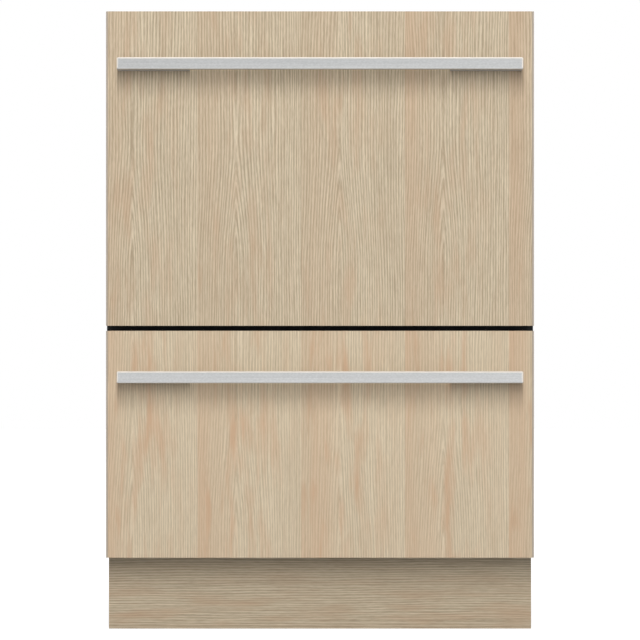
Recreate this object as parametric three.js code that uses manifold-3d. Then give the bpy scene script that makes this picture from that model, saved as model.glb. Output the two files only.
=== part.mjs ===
// Built-in double-drawer dishwasher: two wash drawers with timber fronts, sliding in one sheet-metal chassis.
// Millimetres. +X is right, +Y is back, +Z is up. The origin is on the floor, at the middle of the footprint.
import * as THREE from 'three';
import { mergeVertices } from 'three/addons/utils/BufferGeometryUtils.js';
import Module from 'manifold-3d';

const wasm = await Module();
wasm.setup();

// ---------------------------------------------------------------- fits
const FIT_GAP = 0.3; // between two pieces that touch
const SLIDE_GAP = 0.4; // between nested runner members
const BARREL_GAP = 0.4; // round a pin in its hole

// ---------------------------------------------------------------- timber fronts, plinth and handles
const PANEL_WIDTH = 596;
const PANEL_THICKNESS = 18;
const PANEL_EASED_EDGE = 0.8;
const PANEL_GAP = 7;
const UPPER_PANEL_HEIGHT = 438;
const LOWER_PANEL_HEIGHT = 316;
const PLINTH_REVEAL = 103; // floor to the lower panel's bottom edge
const PLINTH_SIDE_INSET = 1; // inside the panels, each side
const PLINTH_THICKNESS = 16;
const PLINTH_RECESS = 50; // behind the face of the panels

const HANDLE_END_INSET = 17; // panel's side to the handle's end
const HANDLE_HEIGHT = 16.5;
const HANDLE_BAR_DEPTH = 12;
const HANDLE_BEVEL = 1.5;
const HANDLE_STANDOFF = 28; // finger space between bar and panel
const HANDLE_POST_LENGTH = 100;
const HANDLE_POST_HEIGHT = 13;
const UPPER_HANDLE_DROP = 75; // panel's top edge to the bar's middle
const LOWER_HANDLE_DROP = 64;
const STUD_RADIUS = 2.5;
const STUD_SPACING = 64;
const STUD_BITE = 4; // how far a stud reaches past the panel

// ---------------------------------------------------------------- drawer fronts and their controls
const FRAME_DEPTH = 16;
const FRAME_SHEET = 2;
const FRAME_INSET = 2; // inside the panel's outline, all round
const STRIP_LENGTH = 260;
const STRIP_DEPTH = 12.5;
const STRIP_HEIGHT = 9;
const BUTTON_LENGTH = 16;
const BUTTON_WIDTH = 7;
const BUTTON_PROUD = 1.2;
const BUTTON_SUNK = 5.5;
const BUTTON_WELL = 7.5;
const BUTTON_OFFSET = 84; // middle of the strip to a button
const BUTTON_CORNER = 2;

// ---------------------------------------------------------------- chassis
const CHASSIS_SIDE_LAP = 1; // beyond the panels, each side
const CHASSIS_DEPTH = 553;
const CHASSIS_TOP_DROP = 3; // below the upper panel's top edge
const SHEET = 1.5;
const FRONT_FLANGE = 10;
const SEAL_SPACE = 3; // between drawer front and chassis
const SEAL_THICKNESS = 2.4;
const SEAL_INSET = 0.5;
const SILL_HEIGHT = 8;
const TOE_NOTCH = 33; // how far the chassis is cut back over the plinth
const DIVIDER_FLANGE_UP = 7;
const DIVIDER_FLANGE_DOWN = 12;
const REAR_FOLD = 12;
const FOOT_HEIGHT = 60;
const PAN_HEIGHT = 42.7;
const PAN_WALL = 2.5;
const REAR_RECESS = 40; // room for hoses behind the base pan

const FOOT_PAD_RADIUS = 20;
const FOOT_PAD_HEIGHT = 8;
const FOOT_STEM_RADIUS = 5;
const FOOT_NUT_RADIUS = 9.5;
const FOOT_NUT_HEIGHT = 8;
const FOOT_STEM_BITE = 28;
const FOOT_BOSS_RADIUS = 13;
const FOOT_BOSS_HEIGHT = 34;
const FOOT_SIDE_INSET = 40;
const FOOT_END_INSET = 36;
const LUG_LENGTH = 60;
const LUG_HEIGHT = 24;

// ---------------------------------------------------------------- runners
const DRAWER_TRAVEL = 500;
const RAIL_LENGTH = 500;
const RAIL_HEIGHT = 45;
const RAIL_DEPTH = 12.5;
const RAIL_SHEET = 1.2;
const RAIL_STANDOFF = 10.5;
const RAIL_SPACER_LENGTH = 40;
const RAIL_SETBACK = 4; // behind the chassis's front edge
const RAIL_RISE = 70; // tub floor to the middle of the runner
const BEARER_LENGTH = 40;
const BEARER_HEIGHT = 24;
const STRAP_THICKNESS = 2;

// ---------------------------------------------------------------- tubs, sumps and lids
const TUB_SIDE_GAP = 10.5; // runner to the tub's side wall
const TUB_WALL = 3;
const LEDGE_LENGTH = 30;
const LEDGE_THICKNESS = 6;
const LEDGE_LAP = 5; // under the rack's outer wire
const TUB_CORNER = 38;
const RIM_WIDTH = 14;
const RIM_THICKNESS = 6;
const SERVICE_DEPTH = 58; // between the rim and the rear panel
const SUMP_RADIUS = 84;
const SUMP_DEPTH = 28;
const MOTOR_RADIUS = 80;
const MOTOR_HEIGHT = 26;
const SILL_CLEARANCE = 3;
const PUMP_RADIUS = 11;
const PUMP_LENGTH = 46;
const LID_THICKNESS = 18;
const LID_TRAVEL = 12;
const LID_HEADROOM = 3;
const LID_CORNER = 30;
const LID_SET_IN = 6; // behind the chassis's front edge
const LID_RECESS = 4;
const LID_SEAL_HEIGHT = 6;
const LID_SEAL_WIDTH = 12;
const LID_PIN_RADIUS = 3;
const LID_PIN_LENGTH = 13;
const GUIDE_DEPTH = 12.5;
const GUIDE_BORDER = 5;
const GUIDE_SLOT_DEPTH = 11;
const GUIDE_END_INSET = 52;

// ---------------------------------------------------------------- inside the tubs
const SPRAY_RADIUS = 214;
const SPRAY_HUB_RADIUS = 24;
const SPRAY_HALF_WIDTH = 20;
const SPRAY_TIP_RADIUS = 12;
const SPRAY_THICKNESS = 9;
const SPRAY_BEVEL = 2;
const SPRAY_HEIGHT = 13; // tub floor to the arm's underside
const JET_RADIUS = 2.2;
const JET_DEPTH = 4;
const JETS_PER_BLADE = 4;
const SPIGOT_RADIUS = 8;
const SPIGOT_HEIGHT = 20;
const FILTER_RADIUS = 116;
const FILTER_THICKNESS = 3;
const FILTER_SLOTS = 12;
const FILTER_SLOT_WIDTH = 4;
const FILTER_SLOT_LENGTH = 26;
const FILTER_SLOT_START = 46;
const FILTER_KNOB_RADIUS = 14;
const FILTER_KNOB_HEIGHT = 7;

const WIRE = 4;
const RIM_WIRE_HEIGHT = 6;
const RACK_SIDE_GAP = 17; // tub's inner side wall to the rack
const RACK_BACK_GAP = 7.9;
const RACK_FRONT_GAP = 38; // tub's inner front wall to the rack
const RACK_RISE = 34; // tub floor to the underside of the rack
const UPPER_RACK_HEIGHT = 150; // tub floor to the top of the rim
const LOWER_RACK_HEIGHT = 112;
const TALL_RACK = 130; // a rack taller than this has a middle wire all round
const RACK_LONG_BARS = 7;
const RACK_CROSS_BARS = 4;
const TINE_ROWS = 4; // on the long bars, counted from the left
const TINES_PER_ROW = 8;
const TINE_HEIGHT = 62;
const CUP_RACK_WIDTH = 112;
const CUP_RACK_LENGTH = 300;
const CUP_RACK_BARS = 5;
const CUP_RACK_RISE = 9; // rack's rim to the hinge axis
const CUP_HINGE_RADIUS = 2;
const CUP_EAR_LENGTH = 6;
const CUP_EAR_WALL = 2.6;
const BASKET_WIDTH = 76;
const BASKET_LENGTH = 196;
const BASKET_HEIGHT = 96;
const BASKET_WALL = 2.4;
const BASKET_SLOT_WIDTH = 26;
const BASKET_CELLS = 4;
const BASKET_SIDE_GAP = 12; // rack's right side to the basket
const BASKET_FRONT_GAP = 14;

const DISPENSER_WIDTH = 120;
const DISPENSER_HEIGHT = 54;
const DISPENSER_DEPTH = 22;
const DISPENSER_DROP = 30; // tub's rim to the top of the dispenser
const DISPENSER_OFFSET = -40;
const CUP_WIDTH = 62;
const CUP_HEIGHT = 36;
const CUP_DEPTH = 17;
const CUP_MARGIN = 8;
const DOOR_LAP = 3;
const DOOR_THICKNESS = 2.6;
const DOOR_PIN_RADIUS = 1.2;
const DOOR_PIN_LENGTH = 3;
const DOOR_EAR = 3.6;
const RINSE_CAP_RADIUS = 13;
const RINSE_CAP_PROUD = 3;

// ---------------------------------------------------------------- service links behind the tubs
const LINK_PIVOT_INSET = 47.5; // chassis's inner side to a pivot
const LINK_HALF_WIDTH = 12;
const LINK_HEIGHT = 15;
const LINK_WALL = 2.5;
const LINK_RISE = 44; // tub floor to the underside of the rear arm
const LINK_PIN_RADIUS = 4;
const LINK_EYE_RADIUS = 18;
const LINK_FREE_HOLE_RADIUS = 11; // the loop is open here, so the pin has room to wander
const LINK_BRACKET_THICKNESS = 4;

// ---------------------------------------------------------------- services in the base
const VALVE_WIDTH = 46;
const VALVE_LENGTH = 44;
const VALVE_HEIGHT = 34;
const VALVE_SIDE_INSET = 107.5; // chassis's inner side to the valve's middle
const VALVE_STUB_RADIUS = 13.2; // three-quarter-inch hose thread
const VALVE_STUB_LENGTH = 24;
const VALVE_BORE_RADIUS = 8;
const BULKHEAD_WIDTH = 150;
const BULKHEAD_HEIGHT = 32;
const BULKHEAD_THICKNESS = 3;
const BULKHEAD_SIDE_INSET = 117.5;
const TAIL_RADIUS = 9.5;
const TAIL_BORE_RADIUS = 7;
const TAIL_LENGTH = 26;
const TAIL_SPACING = 44;
const GLAND_RADIUS = 8;
const GLAND_LENGTH = 14;
const GLAND_BORE_RADIUS = 4;
const MODULE_WIDTH = 190;
const MODULE_LENGTH = 120;
const MODULE_HEIGHT = 30;
const MODULE_SIDE_INSET = 177.5;
const MODULE_FRONT_GAP = 60;

// ---------------------------------------------------------------- how finely round shapes are cut
const CORNER_STEPS = 3;
const ROUND_SIDES = 20;
const SMALL_SIDES = 10;
const WELD = 1e-4;
const OVERCUT = 1; // how far a cutting tool passes a face

// ---------------------------------------------------------------- places that follow from the sizes
const totalHeight = PLINTH_REVEAL + LOWER_PANEL_HEIGHT + PANEL_GAP + UPPER_PANEL_HEIGHT;
const totalDepth = HANDLE_BAR_DEPTH + HANDLE_STANDOFF + FIT_GAP + PANEL_THICKNESS + FIT_GAP
  + FRAME_DEPTH + SEAL_SPACE + CHASSIS_DEPTH;
const handleFrontY = -totalDepth / 2;
const panelFrontY = handleFrontY + HANDLE_BAR_DEPTH + HANDLE_STANDOFF + FIT_GAP;
const panelBackY = panelFrontY + PANEL_THICKNESS;
const handleHalf = PANEL_WIDTH / 2 - HANDLE_END_INSET;
const frameFrontY = panelBackY + FIT_GAP;
const frameBackY = frameFrontY + FRAME_DEPTH;
const chassisFrontY = frameBackY + SEAL_SPACE;
const chassisBackY = chassisFrontY + CHASSIS_DEPTH;
const chassisInnerBackY = chassisBackY - SHEET;
const chassisTopZ = totalHeight - CHASSIS_TOP_DROP;
const lowerPanelTopZ = PLINTH_REVEAL + LOWER_PANEL_HEIGHT;
const dividerZ = lowerPanelTopZ + PANEL_GAP / 2; // underside of the divider
const sillZ = FOOT_HEIGHT + PAN_HEIGHT + FIT_GAP; // underside of the front sill
const sillTopZ = sillZ + SILL_HEIGHT;
const chassisHalf = PANEL_WIDTH / 2 + CHASSIS_SIDE_LAP;
const innerHalf = chassisHalf - SHEET;
const openingHalf = innerHalf - FRONT_FLANGE;
const toeY = chassisFrontY + TOE_NOTCH;
const panBackY = chassisBackY - REAR_RECESS;
const plinthFrontY = panelFrontY + PLINTH_RECESS;
const plinthBackY = plinthFrontY + PLINTH_THICKNESS;
const plinthTopZ = sillZ - FIT_GAP;

const tubFrontY = frameBackY + FIT_GAP + STRAP_THICKNESS + FIT_GAP;
const rimBackY = chassisInnerBackY - SERVICE_DEPTH;
const tubBackY = rimBackY - RIM_WIDTH;
const sumpY = (tubFrontY + tubBackY) / 2;
const lidStack = LID_TRAVEL + FIT_GAP + LID_SEAL_HEIGHT + FIT_GAP + LID_THICKNESS + LID_HEADROOM;
const sumpStack = TUB_WALL + SUMP_DEPTH + FIT_GAP + MOTOR_HEIGHT + SILL_CLEARANCE;
const upperFloorZ = dividerZ + SHEET + DIVIDER_FLANGE_UP + sumpStack;
const upperRimZ = chassisTopZ - SHEET - lidStack;
const lowerFloorZ = sillTopZ + sumpStack;
const lowerRimZ = dividerZ - lidStack;

const railOuterX = innerHalf - RAIL_STANDOFF;
const railInnerX = railOuterX - RAIL_DEPTH;
const tubHalf = railInnerX - TUB_SIDE_GAP;
const rimHalf = tubHalf + RIM_WIDTH;
const railFrontY = chassisFrontY + RAIL_SETBACK;
const railBackY = railFrontY + RAIL_LENGTH;
const linkY = chassisInnerBackY - SERVICE_DEPTH / 2;
const pivotX = innerHalf - LINK_PIVOT_INSET;
const linkLength = 2 * pivotX;
const valveX = innerHalf - VALVE_SIDE_INSET;
const bulkheadX = BULKHEAD_SIDE_INSET - innerHalf;
const moduleX = MODULE_SIDE_INSET - innerHalf;
const guideYs = [chassisFrontY + GUIDE_END_INSET, rimBackY - GUIDE_END_INSET];
const rackFrontY = tubFrontY + TUB_WALL + RACK_FRONT_GAP;
const rackBackY = tubBackY - TUB_WALL - RACK_BACK_GAP;
const rackHalf = tubHalf - TUB_WALL - RACK_SIDE_GAP;

// ---------------------------------------------------------------- materials
const finish = (color, roughness, metalness) => new THREE.MeshStandardMaterial({ color, roughness, metalness });
const TIMBER = finish(0xc8b598, 0.6, 0);
const PLINTH_TIMBER = finish(0xb8a589, 0.65, 0);
const SATIN_METAL = finish(0xc6c7c6, 0.35, 0.9);
const ZINC = finish(0xa9adb0, 0.45, 0.8);
const DARK_ENAMEL = finish(0x2b2c2e, 0.5, 0.2);
const BLACK_RUBBER = finish(0x0b0b0c, 0.85, 0);
const BLACK_PLASTIC = finish(0x1a1b1c, 0.5, 0);
const TUB_PLASTIC = finish(0x9aa0a4, 0.45, 0);
const PALE_PLASTIC = finish(0xc9cdd0, 0.45, 0);
const RACK_COATING = finish(0x8b9196, 0.4, 0);
const BLUE_PLASTIC = finish(0x5c7f9c, 0.45, 0);

// ---------------------------------------------------------------- solids from three.js geometry
const EXTRUDE_TO_Y = new THREE.Matrix4().makeBasis(
  new THREE.Vector3(1, 0, 0), new THREE.Vector3(0, 0, 1), new THREE.Vector3(0, -1, 0));
const EXTRUDE_TO_X = new THREE.Matrix4().makeBasis(
  new THREE.Vector3(0, 1, 0), new THREE.Vector3(0, 0, 1), new THREE.Vector3(1, 0, 0));

// Corners are rounded to the weld distance, so that faces meant to be level are exactly level.
function solid(geometry) {
  geometry.deleteAttribute('normal');
  geometry.deleteAttribute('uv');
  const corners = geometry.attributes.position.array;
  corners.forEach((value, i) => {
    corners[i] = Math.round(value / WELD) * WELD;
  });
  const merged = mergeVertices(geometry, WELD);
  return new wasm.Manifold(new wasm.Mesh({
    numProp: 3,
    vertProperties: merged.attributes.position.array,
    triVerts: new Uint32Array(merged.index.array),
  }));
}

function block([x0, x1], [y0, y1], [z0, z1]) {
  const geometry = new THREE.BoxGeometry(x1 - x0, y1 - y0, z1 - z0);
  geometry.translate((x0 + x1) / 2, (y0 + y1) / 2, (z0 + z1) / 2);
  return solid(geometry);
}

// A shape drawn in X and Y, pushed up from z0 to z1.
function alongZ(shape, z0, z1, bevel = 0) {
  const geometry = new THREE.ExtrudeGeometry(shape, {
    depth: z1 - z0 - 2 * bevel,
    curveSegments: CORNER_STEPS,
    bevelEnabled: bevel > 0,
    bevelSize: bevel,
    bevelOffset: -bevel,
    bevelThickness: bevel,
    bevelSegments: 1,
  });
  geometry.translate(0, 0, z0 + bevel);
  return solid(geometry);
}

// A shape drawn in X and Z, pushed back from y0 to y1.
function alongY(shape, y0, y1, bevel = 0) {
  const geometry = new THREE.ExtrudeGeometry(shape, {
    depth: y1 - y0 - 2 * bevel,
    curveSegments: CORNER_STEPS,
    bevelEnabled: bevel > 0,
    bevelSize: bevel,
    bevelOffset: -bevel,
    bevelThickness: bevel,
    bevelSegments: 1,
  });
  geometry.applyMatrix4(EXTRUDE_TO_Y);
  geometry.translate(0, y1 - bevel, 0);
  return solid(geometry);
}

// A shape drawn in Y and Z, pushed right from x0 to x1.
function alongX(shape, x0, x1) {
  const geometry = new THREE.ExtrudeGeometry(shape, {
    depth: x1 - x0,
    curveSegments: CORNER_STEPS,
    bevelEnabled: false,
  });
  geometry.applyMatrix4(EXTRUDE_TO_X);
  geometry.translate(x0, 0, 0);
  return solid(geometry);
}

function polygon(points) {
  return new THREE.Shape(points.map(([x, y]) => new THREE.Vector2(x, y)));
}

function circle(cx, cy, radius, sides = ROUND_SIDES) {
  const corners = Array.from({ length: sides }, (_, i) => {
    const angle = (2 * Math.PI * (i + 0.5)) / sides;
    return [cx + radius * Math.cos(angle), cy + radius * Math.sin(angle)];
  });
  return polygon(corners);
}

function rectangle([x0, x1], [y0, y1]) {
  return polygon([[x0, y0], [x1, y0], [x1, y1], [x0, y1]]);
}

function roundedRectangle([x0, x1], [y0, y1], radius) {
  const quarter = Math.PI / 2;
  return new THREE.Shape()
    .absarc(x1 - radius, y0 + radius, radius, -quarter, 0)
    .absarc(x1 - radius, y1 - radius, radius, 0, quarter)
    .absarc(x0 + radius, y1 - radius, radius, quarter, 2 * quarter)
    .absarc(x0 + radius, y0 + radius, radius, 2 * quarter, 3 * quarter);
}

const join = (...solids) => solids.reduce((whole, piece) => whole.add(piece));
const cut = (body, ...tools) => tools.reduce((rest, tool) => rest.subtract(tool), body);

function mesh(name, body, material) {
  const made = body.asOriginal().getMesh();
  const geometry = new THREE.BufferGeometry();
  geometry.setAttribute('position', new THREE.BufferAttribute(new Float32Array(made.vertProperties), 3));
  geometry.setIndex(new THREE.BufferAttribute(new Uint32Array(made.triVerts), 1));
  const faceted = geometry.toNonIndexed();
  faceted.computeVertexNormals();
  const piece = new THREE.Mesh(faceted, material);
  piece.name = name;
  return piece;
}

const sides = { left: -1, right: 1 };
const span = (a, b) => [Math.min(a, b), Math.max(a, b)];
const across = (side, near, far) => span(side * near, side * far);
const around = (middle, half) => [middle - half, middle + half];

// ---------------------------------------------------------------- chassis
function lidGuides(rimZ) {
  const pinLow = rimZ + FIT_GAP + LID_SEAL_HEIGHT + FIT_GAP + LID_THICKNESS / 2;
  const pinHigh = pinLow + LID_TRAVEL;
  const slotHalf = LID_PIN_RADIUS + FIT_GAP;
  const innerX = innerHalf - GUIDE_DEPTH;
  return Object.values(sides).flatMap((side) => guideYs.map((y) => cut(
    block(across(side, innerX, innerHalf + SHEET / 2), around(y, slotHalf + GUIDE_BORDER),
      [pinLow - slotHalf - GUIDE_BORDER, Math.min(pinHigh + slotHalf + GUIDE_BORDER, rimZ + lidStack)]),
    block(across(side, innerX - OVERCUT, innerX + GUIDE_SLOT_DEPTH), around(y, slotHalf),
      [pinLow - slotHalf, pinHigh + slotHalf]),
  )));
}

function chassisShell() {
  const half = chassisHalf;
  const wrap = polygon([
    [-half, FOOT_HEIGHT], [-innerHalf, FOOT_HEIGHT], [-innerHalf, chassisTopZ - SHEET],
    [innerHalf, chassisTopZ - SHEET], [innerHalf, FOOT_HEIGHT], [half, FOOT_HEIGHT],
    [half, chassisTopZ], [-half, chassisTopZ],
  ]);
  const face = rectangle([-half, half], [sillZ, chassisTopZ]);
  face.holes.push(rectangle([-openingHalf, openingHalf], [sillTopZ, chassisTopZ - SHEET - FRONT_FLANGE]));
  const toeCut = block([-half - OVERCUT, half + OVERCUT], [chassisFrontY - OVERCUT, toeY],
    [FOOT_HEIGHT - OVERCUT, sillZ]);
  const sill = block([-innerHalf - SHEET / 2, innerHalf + SHEET / 2], [chassisFrontY, toeY + PAN_WALL],
    [sillZ, sillZ + SHEET]);
  return join(
    cut(alongY(wrap, chassisFrontY, chassisBackY), toeCut),
    alongY(face, chassisFrontY, chassisFrontY + SHEET),
    sill,
    ...lidGuides(upperRimZ),
    ...lidGuides(lowerRimZ),
  );
}

function dividerShelf() {
  const half = innerHalf - FIT_GAP;
  const plate = block([-half, half], [chassisFrontY + SHEET + FIT_GAP, chassisInnerBackY - REAR_FOLD],
    [dividerZ, dividerZ + SHEET]);
  const face = block([-openingHalf + FIT_GAP, openingHalf - FIT_GAP], [chassisFrontY, chassisFrontY + SHEET],
    [dividerZ - DIVIDER_FLANGE_DOWN, dividerZ + SHEET + DIVIDER_FLANGE_UP]);
  const bridge = block([-openingHalf + FIT_GAP, openingHalf - FIT_GAP],
    [chassisFrontY, chassisFrontY + 2 * SHEET + FIT_GAP], [dividerZ, dividerZ + SHEET]);
  const backFold = block([-half, half],
    [chassisInnerBackY - REAR_FOLD - SHEET, chassisInnerBackY - REAR_FOLD],
    [dividerZ, dividerZ + SHEET + DIVIDER_FLANGE_UP]);
  return join(plate, face, bridge, backFold);
}

function linkBracketOnPanel(floorZ) {
  const x = pivotX;
  const top = floorZ + LINK_RISE - FIT_GAP;
  const plate = block(around(x, LINK_HALF_WIDTH), [linkY - LINK_HALF_WIDTH, chassisInnerBackY + SHEET / 2],
    [top - LINK_BRACKET_THICKNESS, top]);
  const pin = alongZ(circle(x, linkY, LINK_PIN_RADIUS, SMALL_SIDES), top - LINK_BRACKET_THICKNESS / 2,
    floorZ + LINK_RISE + LINK_HEIGHT - LINK_WALL);
  return join(plate, pin);
}

function rearPanel() {
  const half = innerHalf - FIT_GAP;
  const bottom = sillZ;
  const top = chassisTopZ - SHEET - FIT_GAP;
  const foldFrontY = chassisInnerBackY - REAR_FOLD + FIT_GAP;
  const pan = cut(
    block([-half, half], [foldFrontY, chassisBackY], [bottom, top]),
    block([-half + SHEET, half - SHEET], [foldFrontY - OVERCUT, chassisInnerBackY],
      [bottom + SHEET, top - SHEET]),
  );
  const shelf = block([-half + SHEET, half - SHEET], [panBackY - PAN_WALL, foldFrontY + SHEET],
    [bottom, bottom + SHEET]);
  return join(
    pan,
    shelf,
    linkBracketOnPanel(upperFloorZ),
    linkBracketOnPanel(lowerFloorZ),
  );
}

const footPlaces = {
  front_left: [-1, toeY + FOOT_END_INSET],
  front_right: [1, toeY + FOOT_END_INSET],
  rear_left: [-1, panBackY - FOOT_END_INSET],
  rear_right: [1, panBackY - FOOT_END_INSET],
};
const footX = innerHalf - FOOT_SIDE_INSET;

function basePan() {
  const half = innerHalf - FIT_GAP;
  const top = FOOT_HEIGHT + PAN_HEIGHT;
  const tray = cut(
    block([-half, half], [toeY, panBackY], [FOOT_HEIGHT, top]),
    block([-half + PAN_WALL, half - PAN_WALL], [toeY + PAN_WALL, panBackY - PAN_WALL],
      [FOOT_HEIGHT + PAN_WALL, top + OVERCUT]),
  );
  const bosses = Object.values(footPlaces).map(([side, y]) => alongZ(
    circle(side * footX, y, FOOT_BOSS_RADIUS, SMALL_SIDES), FOOT_HEIGHT, FOOT_HEIGHT + FOOT_BOSS_HEIGHT));
  const sockets = Object.values(footPlaces).map(([side, y]) => alongZ(
    circle(side * footX, y, FOOT_STEM_RADIUS + BARREL_GAP, SMALL_SIDES), FOOT_HEIGHT - OVERCUT,
    FOOT_HEIGHT + FOOT_STEM_BITE + OVERCUT));
  const lugs = Object.values(sides).map((side) => block(
    around(side * footX, LUG_LENGTH / 2), [plinthBackY + FIT_GAP, toeY + PAN_WALL / 2],
    [FOOT_HEIGHT, FOOT_HEIGHT + LUG_HEIGHT]));
  const stubHole = alongY(circle(valveX, valveZ, VALVE_STUB_RADIUS + BARREL_GAP),
    panBackY - PAN_WALL - OVERCUT, panBackY + OVERCUT);
  return cut(join(tray, ...bosses, ...lugs), ...sockets, stubHole);
}

function levellingFoot() {
  const nutTop = FOOT_HEIGHT - FIT_GAP;
  const neck = FOOT_PAD_RADIUS * 0.45;
  const profile = [
    [0, 0], [FOOT_PAD_RADIUS, 0], [FOOT_PAD_RADIUS, FOOT_PAD_HEIGHT / 2], [neck, FOOT_PAD_HEIGHT],
    [FOOT_STEM_RADIUS, FOOT_PAD_HEIGHT], [FOOT_STEM_RADIUS, FOOT_HEIGHT + FOOT_STEM_BITE],
    [0, FOOT_HEIGHT + FOOT_STEM_BITE],
  ].map(([r, z]) => new THREE.Vector2(r, z));
  const stem = new THREE.LatheGeometry(profile, SMALL_SIDES);
  stem.rotateX(Math.PI / 2);
  const nut = alongZ(circle(0, 0, FOOT_NUT_RADIUS, 6), nutTop - FOOT_NUT_HEIGHT, nutTop);
  return join(solid(stem), nut);
}

function frontSeal() {
  const half = chassisHalf - SEAL_INSET;
  const open = openingHalf + SEAL_INSET;
  const outline = rectangle([-half, half], [sillZ + SEAL_INSET, chassisTopZ - SEAL_INSET]);
  outline.holes.push(rectangle([-open, open],
    [dividerZ + SHEET + DIVIDER_FLANGE_UP + SEAL_INSET, chassisTopZ - SHEET - FRONT_FLANGE + SEAL_INSET]));
  outline.holes.push(rectangle([-open, open],
    [sillTopZ + SEAL_INSET, dividerZ - DIVIDER_FLANGE_DOWN - SEAL_INSET]));
  return alongY(outline, chassisFrontY - FIT_GAP - SEAL_THICKNESS, chassisFrontY - FIT_GAP);
}

function plinthBoard() {
  const half = PANEL_WIDTH / 2 - PLINTH_SIDE_INSET;
  return alongY(rectangle([-half, half], [0, plinthTopZ]), plinthFrontY, plinthBackY, PANEL_EASED_EDGE);
}

// ---------------------------------------------------------------- services in the base pan
const valveZ = FOOT_HEIGHT + PAN_WALL + FIT_GAP + VALVE_HEIGHT / 2;

function waterInletValve() {
  const back = panBackY - PAN_WALL - FIT_GAP;
  const body = block(around(valveX, VALVE_WIDTH / 2), [back - VALVE_LENGTH, back],
    around(valveZ, VALVE_HEIGHT / 2));
  const coil = alongY(circle(valveX, valveZ, VALVE_HEIGHT / 2 - FIT_GAP),
    back - 1.8 * VALVE_LENGTH, back - VALVE_LENGTH / 2);
  const stub = alongY(circle(valveX, valveZ, VALVE_STUB_RADIUS), back - OVERCUT,
    panBackY + VALVE_STUB_LENGTH);
  const bore = alongY(circle(valveX, valveZ, VALVE_BORE_RADIUS), panBackY,
    panBackY + VALVE_STUB_LENGTH + OVERCUT);
  return cut(join(body, coil, stub), bore);
}

function serviceBulkhead() {
  const z = FOOT_HEIGHT + PAN_HEIGHT / 2;
  const face = panBackY + FIT_GAP;
  const outer = face + BULKHEAD_THICKNESS;
  const plate = alongY(roundedRectangle(around(bulkheadX, BULKHEAD_WIDTH / 2),
    around(z, BULKHEAD_HEIGHT / 2), BUTTON_CORNER), face, outer);
  const ports = [
    [bulkheadX - TAIL_SPACING, TAIL_RADIUS, TAIL_BORE_RADIUS, TAIL_LENGTH],
    [bulkheadX, TAIL_RADIUS, TAIL_BORE_RADIUS, TAIL_LENGTH],
    [bulkheadX + TAIL_SPACING, GLAND_RADIUS, GLAND_BORE_RADIUS, GLAND_LENGTH],
  ];
  const stubs = ports.map(([x, radius, , length]) => alongY(circle(x, z, radius, SMALL_SIDES),
    face, outer + length));
  const bores = ports.map(([x, , bore, length]) => alongY(circle(x, z, bore, SMALL_SIDES),
    outer, outer + length + OVERCUT));
  return cut(join(plate, ...stubs), ...bores);
}

function controlModule() {
  const front = toeY + PAN_WALL + MODULE_FRONT_GAP;
  const bottom = FOOT_HEIGHT + PAN_WALL + FIT_GAP;
  const lidHeight = MODULE_HEIGHT * 0.7;
  return join(
    block(around(moduleX, MODULE_WIDTH / 2), [front, front + MODULE_LENGTH],
      [bottom, bottom + lidHeight]),
    block(around(moduleX, MODULE_WIDTH / 2 - CUP_MARGIN),
      [front + CUP_MARGIN, front + MODULE_LENGTH - CUP_MARGIN], [bottom, bottom + MODULE_HEIGHT]),
  );
}

// ---------------------------------------------------------------- runners
// A channel section that opens towards the middle of the machine, in X and Z about the runner's middle.
function channel(side, inset, halfHeight) {
  const web = railOuterX - inset;
  return polygon([
    [side * web, -halfHeight], [side * web, halfHeight], [side * railInnerX, halfHeight],
    [side * railInnerX, halfHeight - RAIL_SHEET], [side * (web - RAIL_SHEET), halfHeight - RAIL_SHEET],
    [side * (web - RAIL_SHEET), -halfHeight + RAIL_SHEET], [side * railInnerX, -halfHeight + RAIL_SHEET],
    [side * railInnerX, -halfHeight],
  ]);
}

const nest = RAIL_SHEET + SLIDE_GAP;

function fixedRail(side) {
  const third = (RAIL_LENGTH - RAIL_SPACER_LENGTH) / 2;
  const spacers = [0, 1, 2].map((i) => block(across(side, railOuterX - RAIL_SHEET / 2, innerHalf - FIT_GAP),
    [railFrontY + i * third, railFrontY + i * third + RAIL_SPACER_LENGTH],
    around(0, BEARER_HEIGHT / 2)));
  return join(alongY(channel(side, 0, RAIL_HEIGHT / 2), railFrontY, railBackY), ...spacers);
}

function middleRail(side) {
  return alongY(channel(side, nest, RAIL_HEIGHT / 2 - nest), railFrontY, railBackY);
}

function carriage() {
  const strapY = [frameBackY + FIT_GAP, frameBackY + FIT_GAP + STRAP_THICKNESS];
  const halfHeight = RAIL_HEIGHT / 2 - 2 * nest;
  const webX = railOuterX - 2 * nest;
  const bearerYs = [0.12, 0.5, 0.88].map((share) => tubFrontY + share * (tubBackY - tubFrontY));
  const members = Object.values(sides).flatMap((side) => [
    alongY(channel(side, 2 * nest, halfHeight), strapY[0], railBackY),
    ...bearerYs.map((y) => block(across(side, tubHalf + FIT_GAP, webX - RAIL_SHEET / 2),
      around(y, BEARER_LENGTH / 2), around(0, BEARER_HEIGHT / 2))),
  ]);
  return join(...members, block([-webX, webX], strapY, around(0, halfHeight)));
}

// ---------------------------------------------------------------- drawer fronts
function timberPanel(height, handleZ) {
  const half = PANEL_WIDTH / 2;
  const board = alongY(rectangle([-half, half], [0, height]), panelFrontY, panelBackY, PANEL_EASED_EDGE);
  const holes = studPlaces(handleZ).map(([x, z]) => alongY(
    circle(x, z, STUD_RADIUS + BARREL_GAP, SMALL_SIDES), panelFrontY - OVERCUT, panelBackY + OVERCUT));
  return cut(board, ...holes);
}

function studPlaces(handleZ) {
  const post = handleHalf - HANDLE_POST_LENGTH / 2;
  return Object.values(sides).flatMap((side) => [-1, 1].map((end) => [
    side * post + (end * STUD_SPACING) / 2, handleZ]));
}

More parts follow.
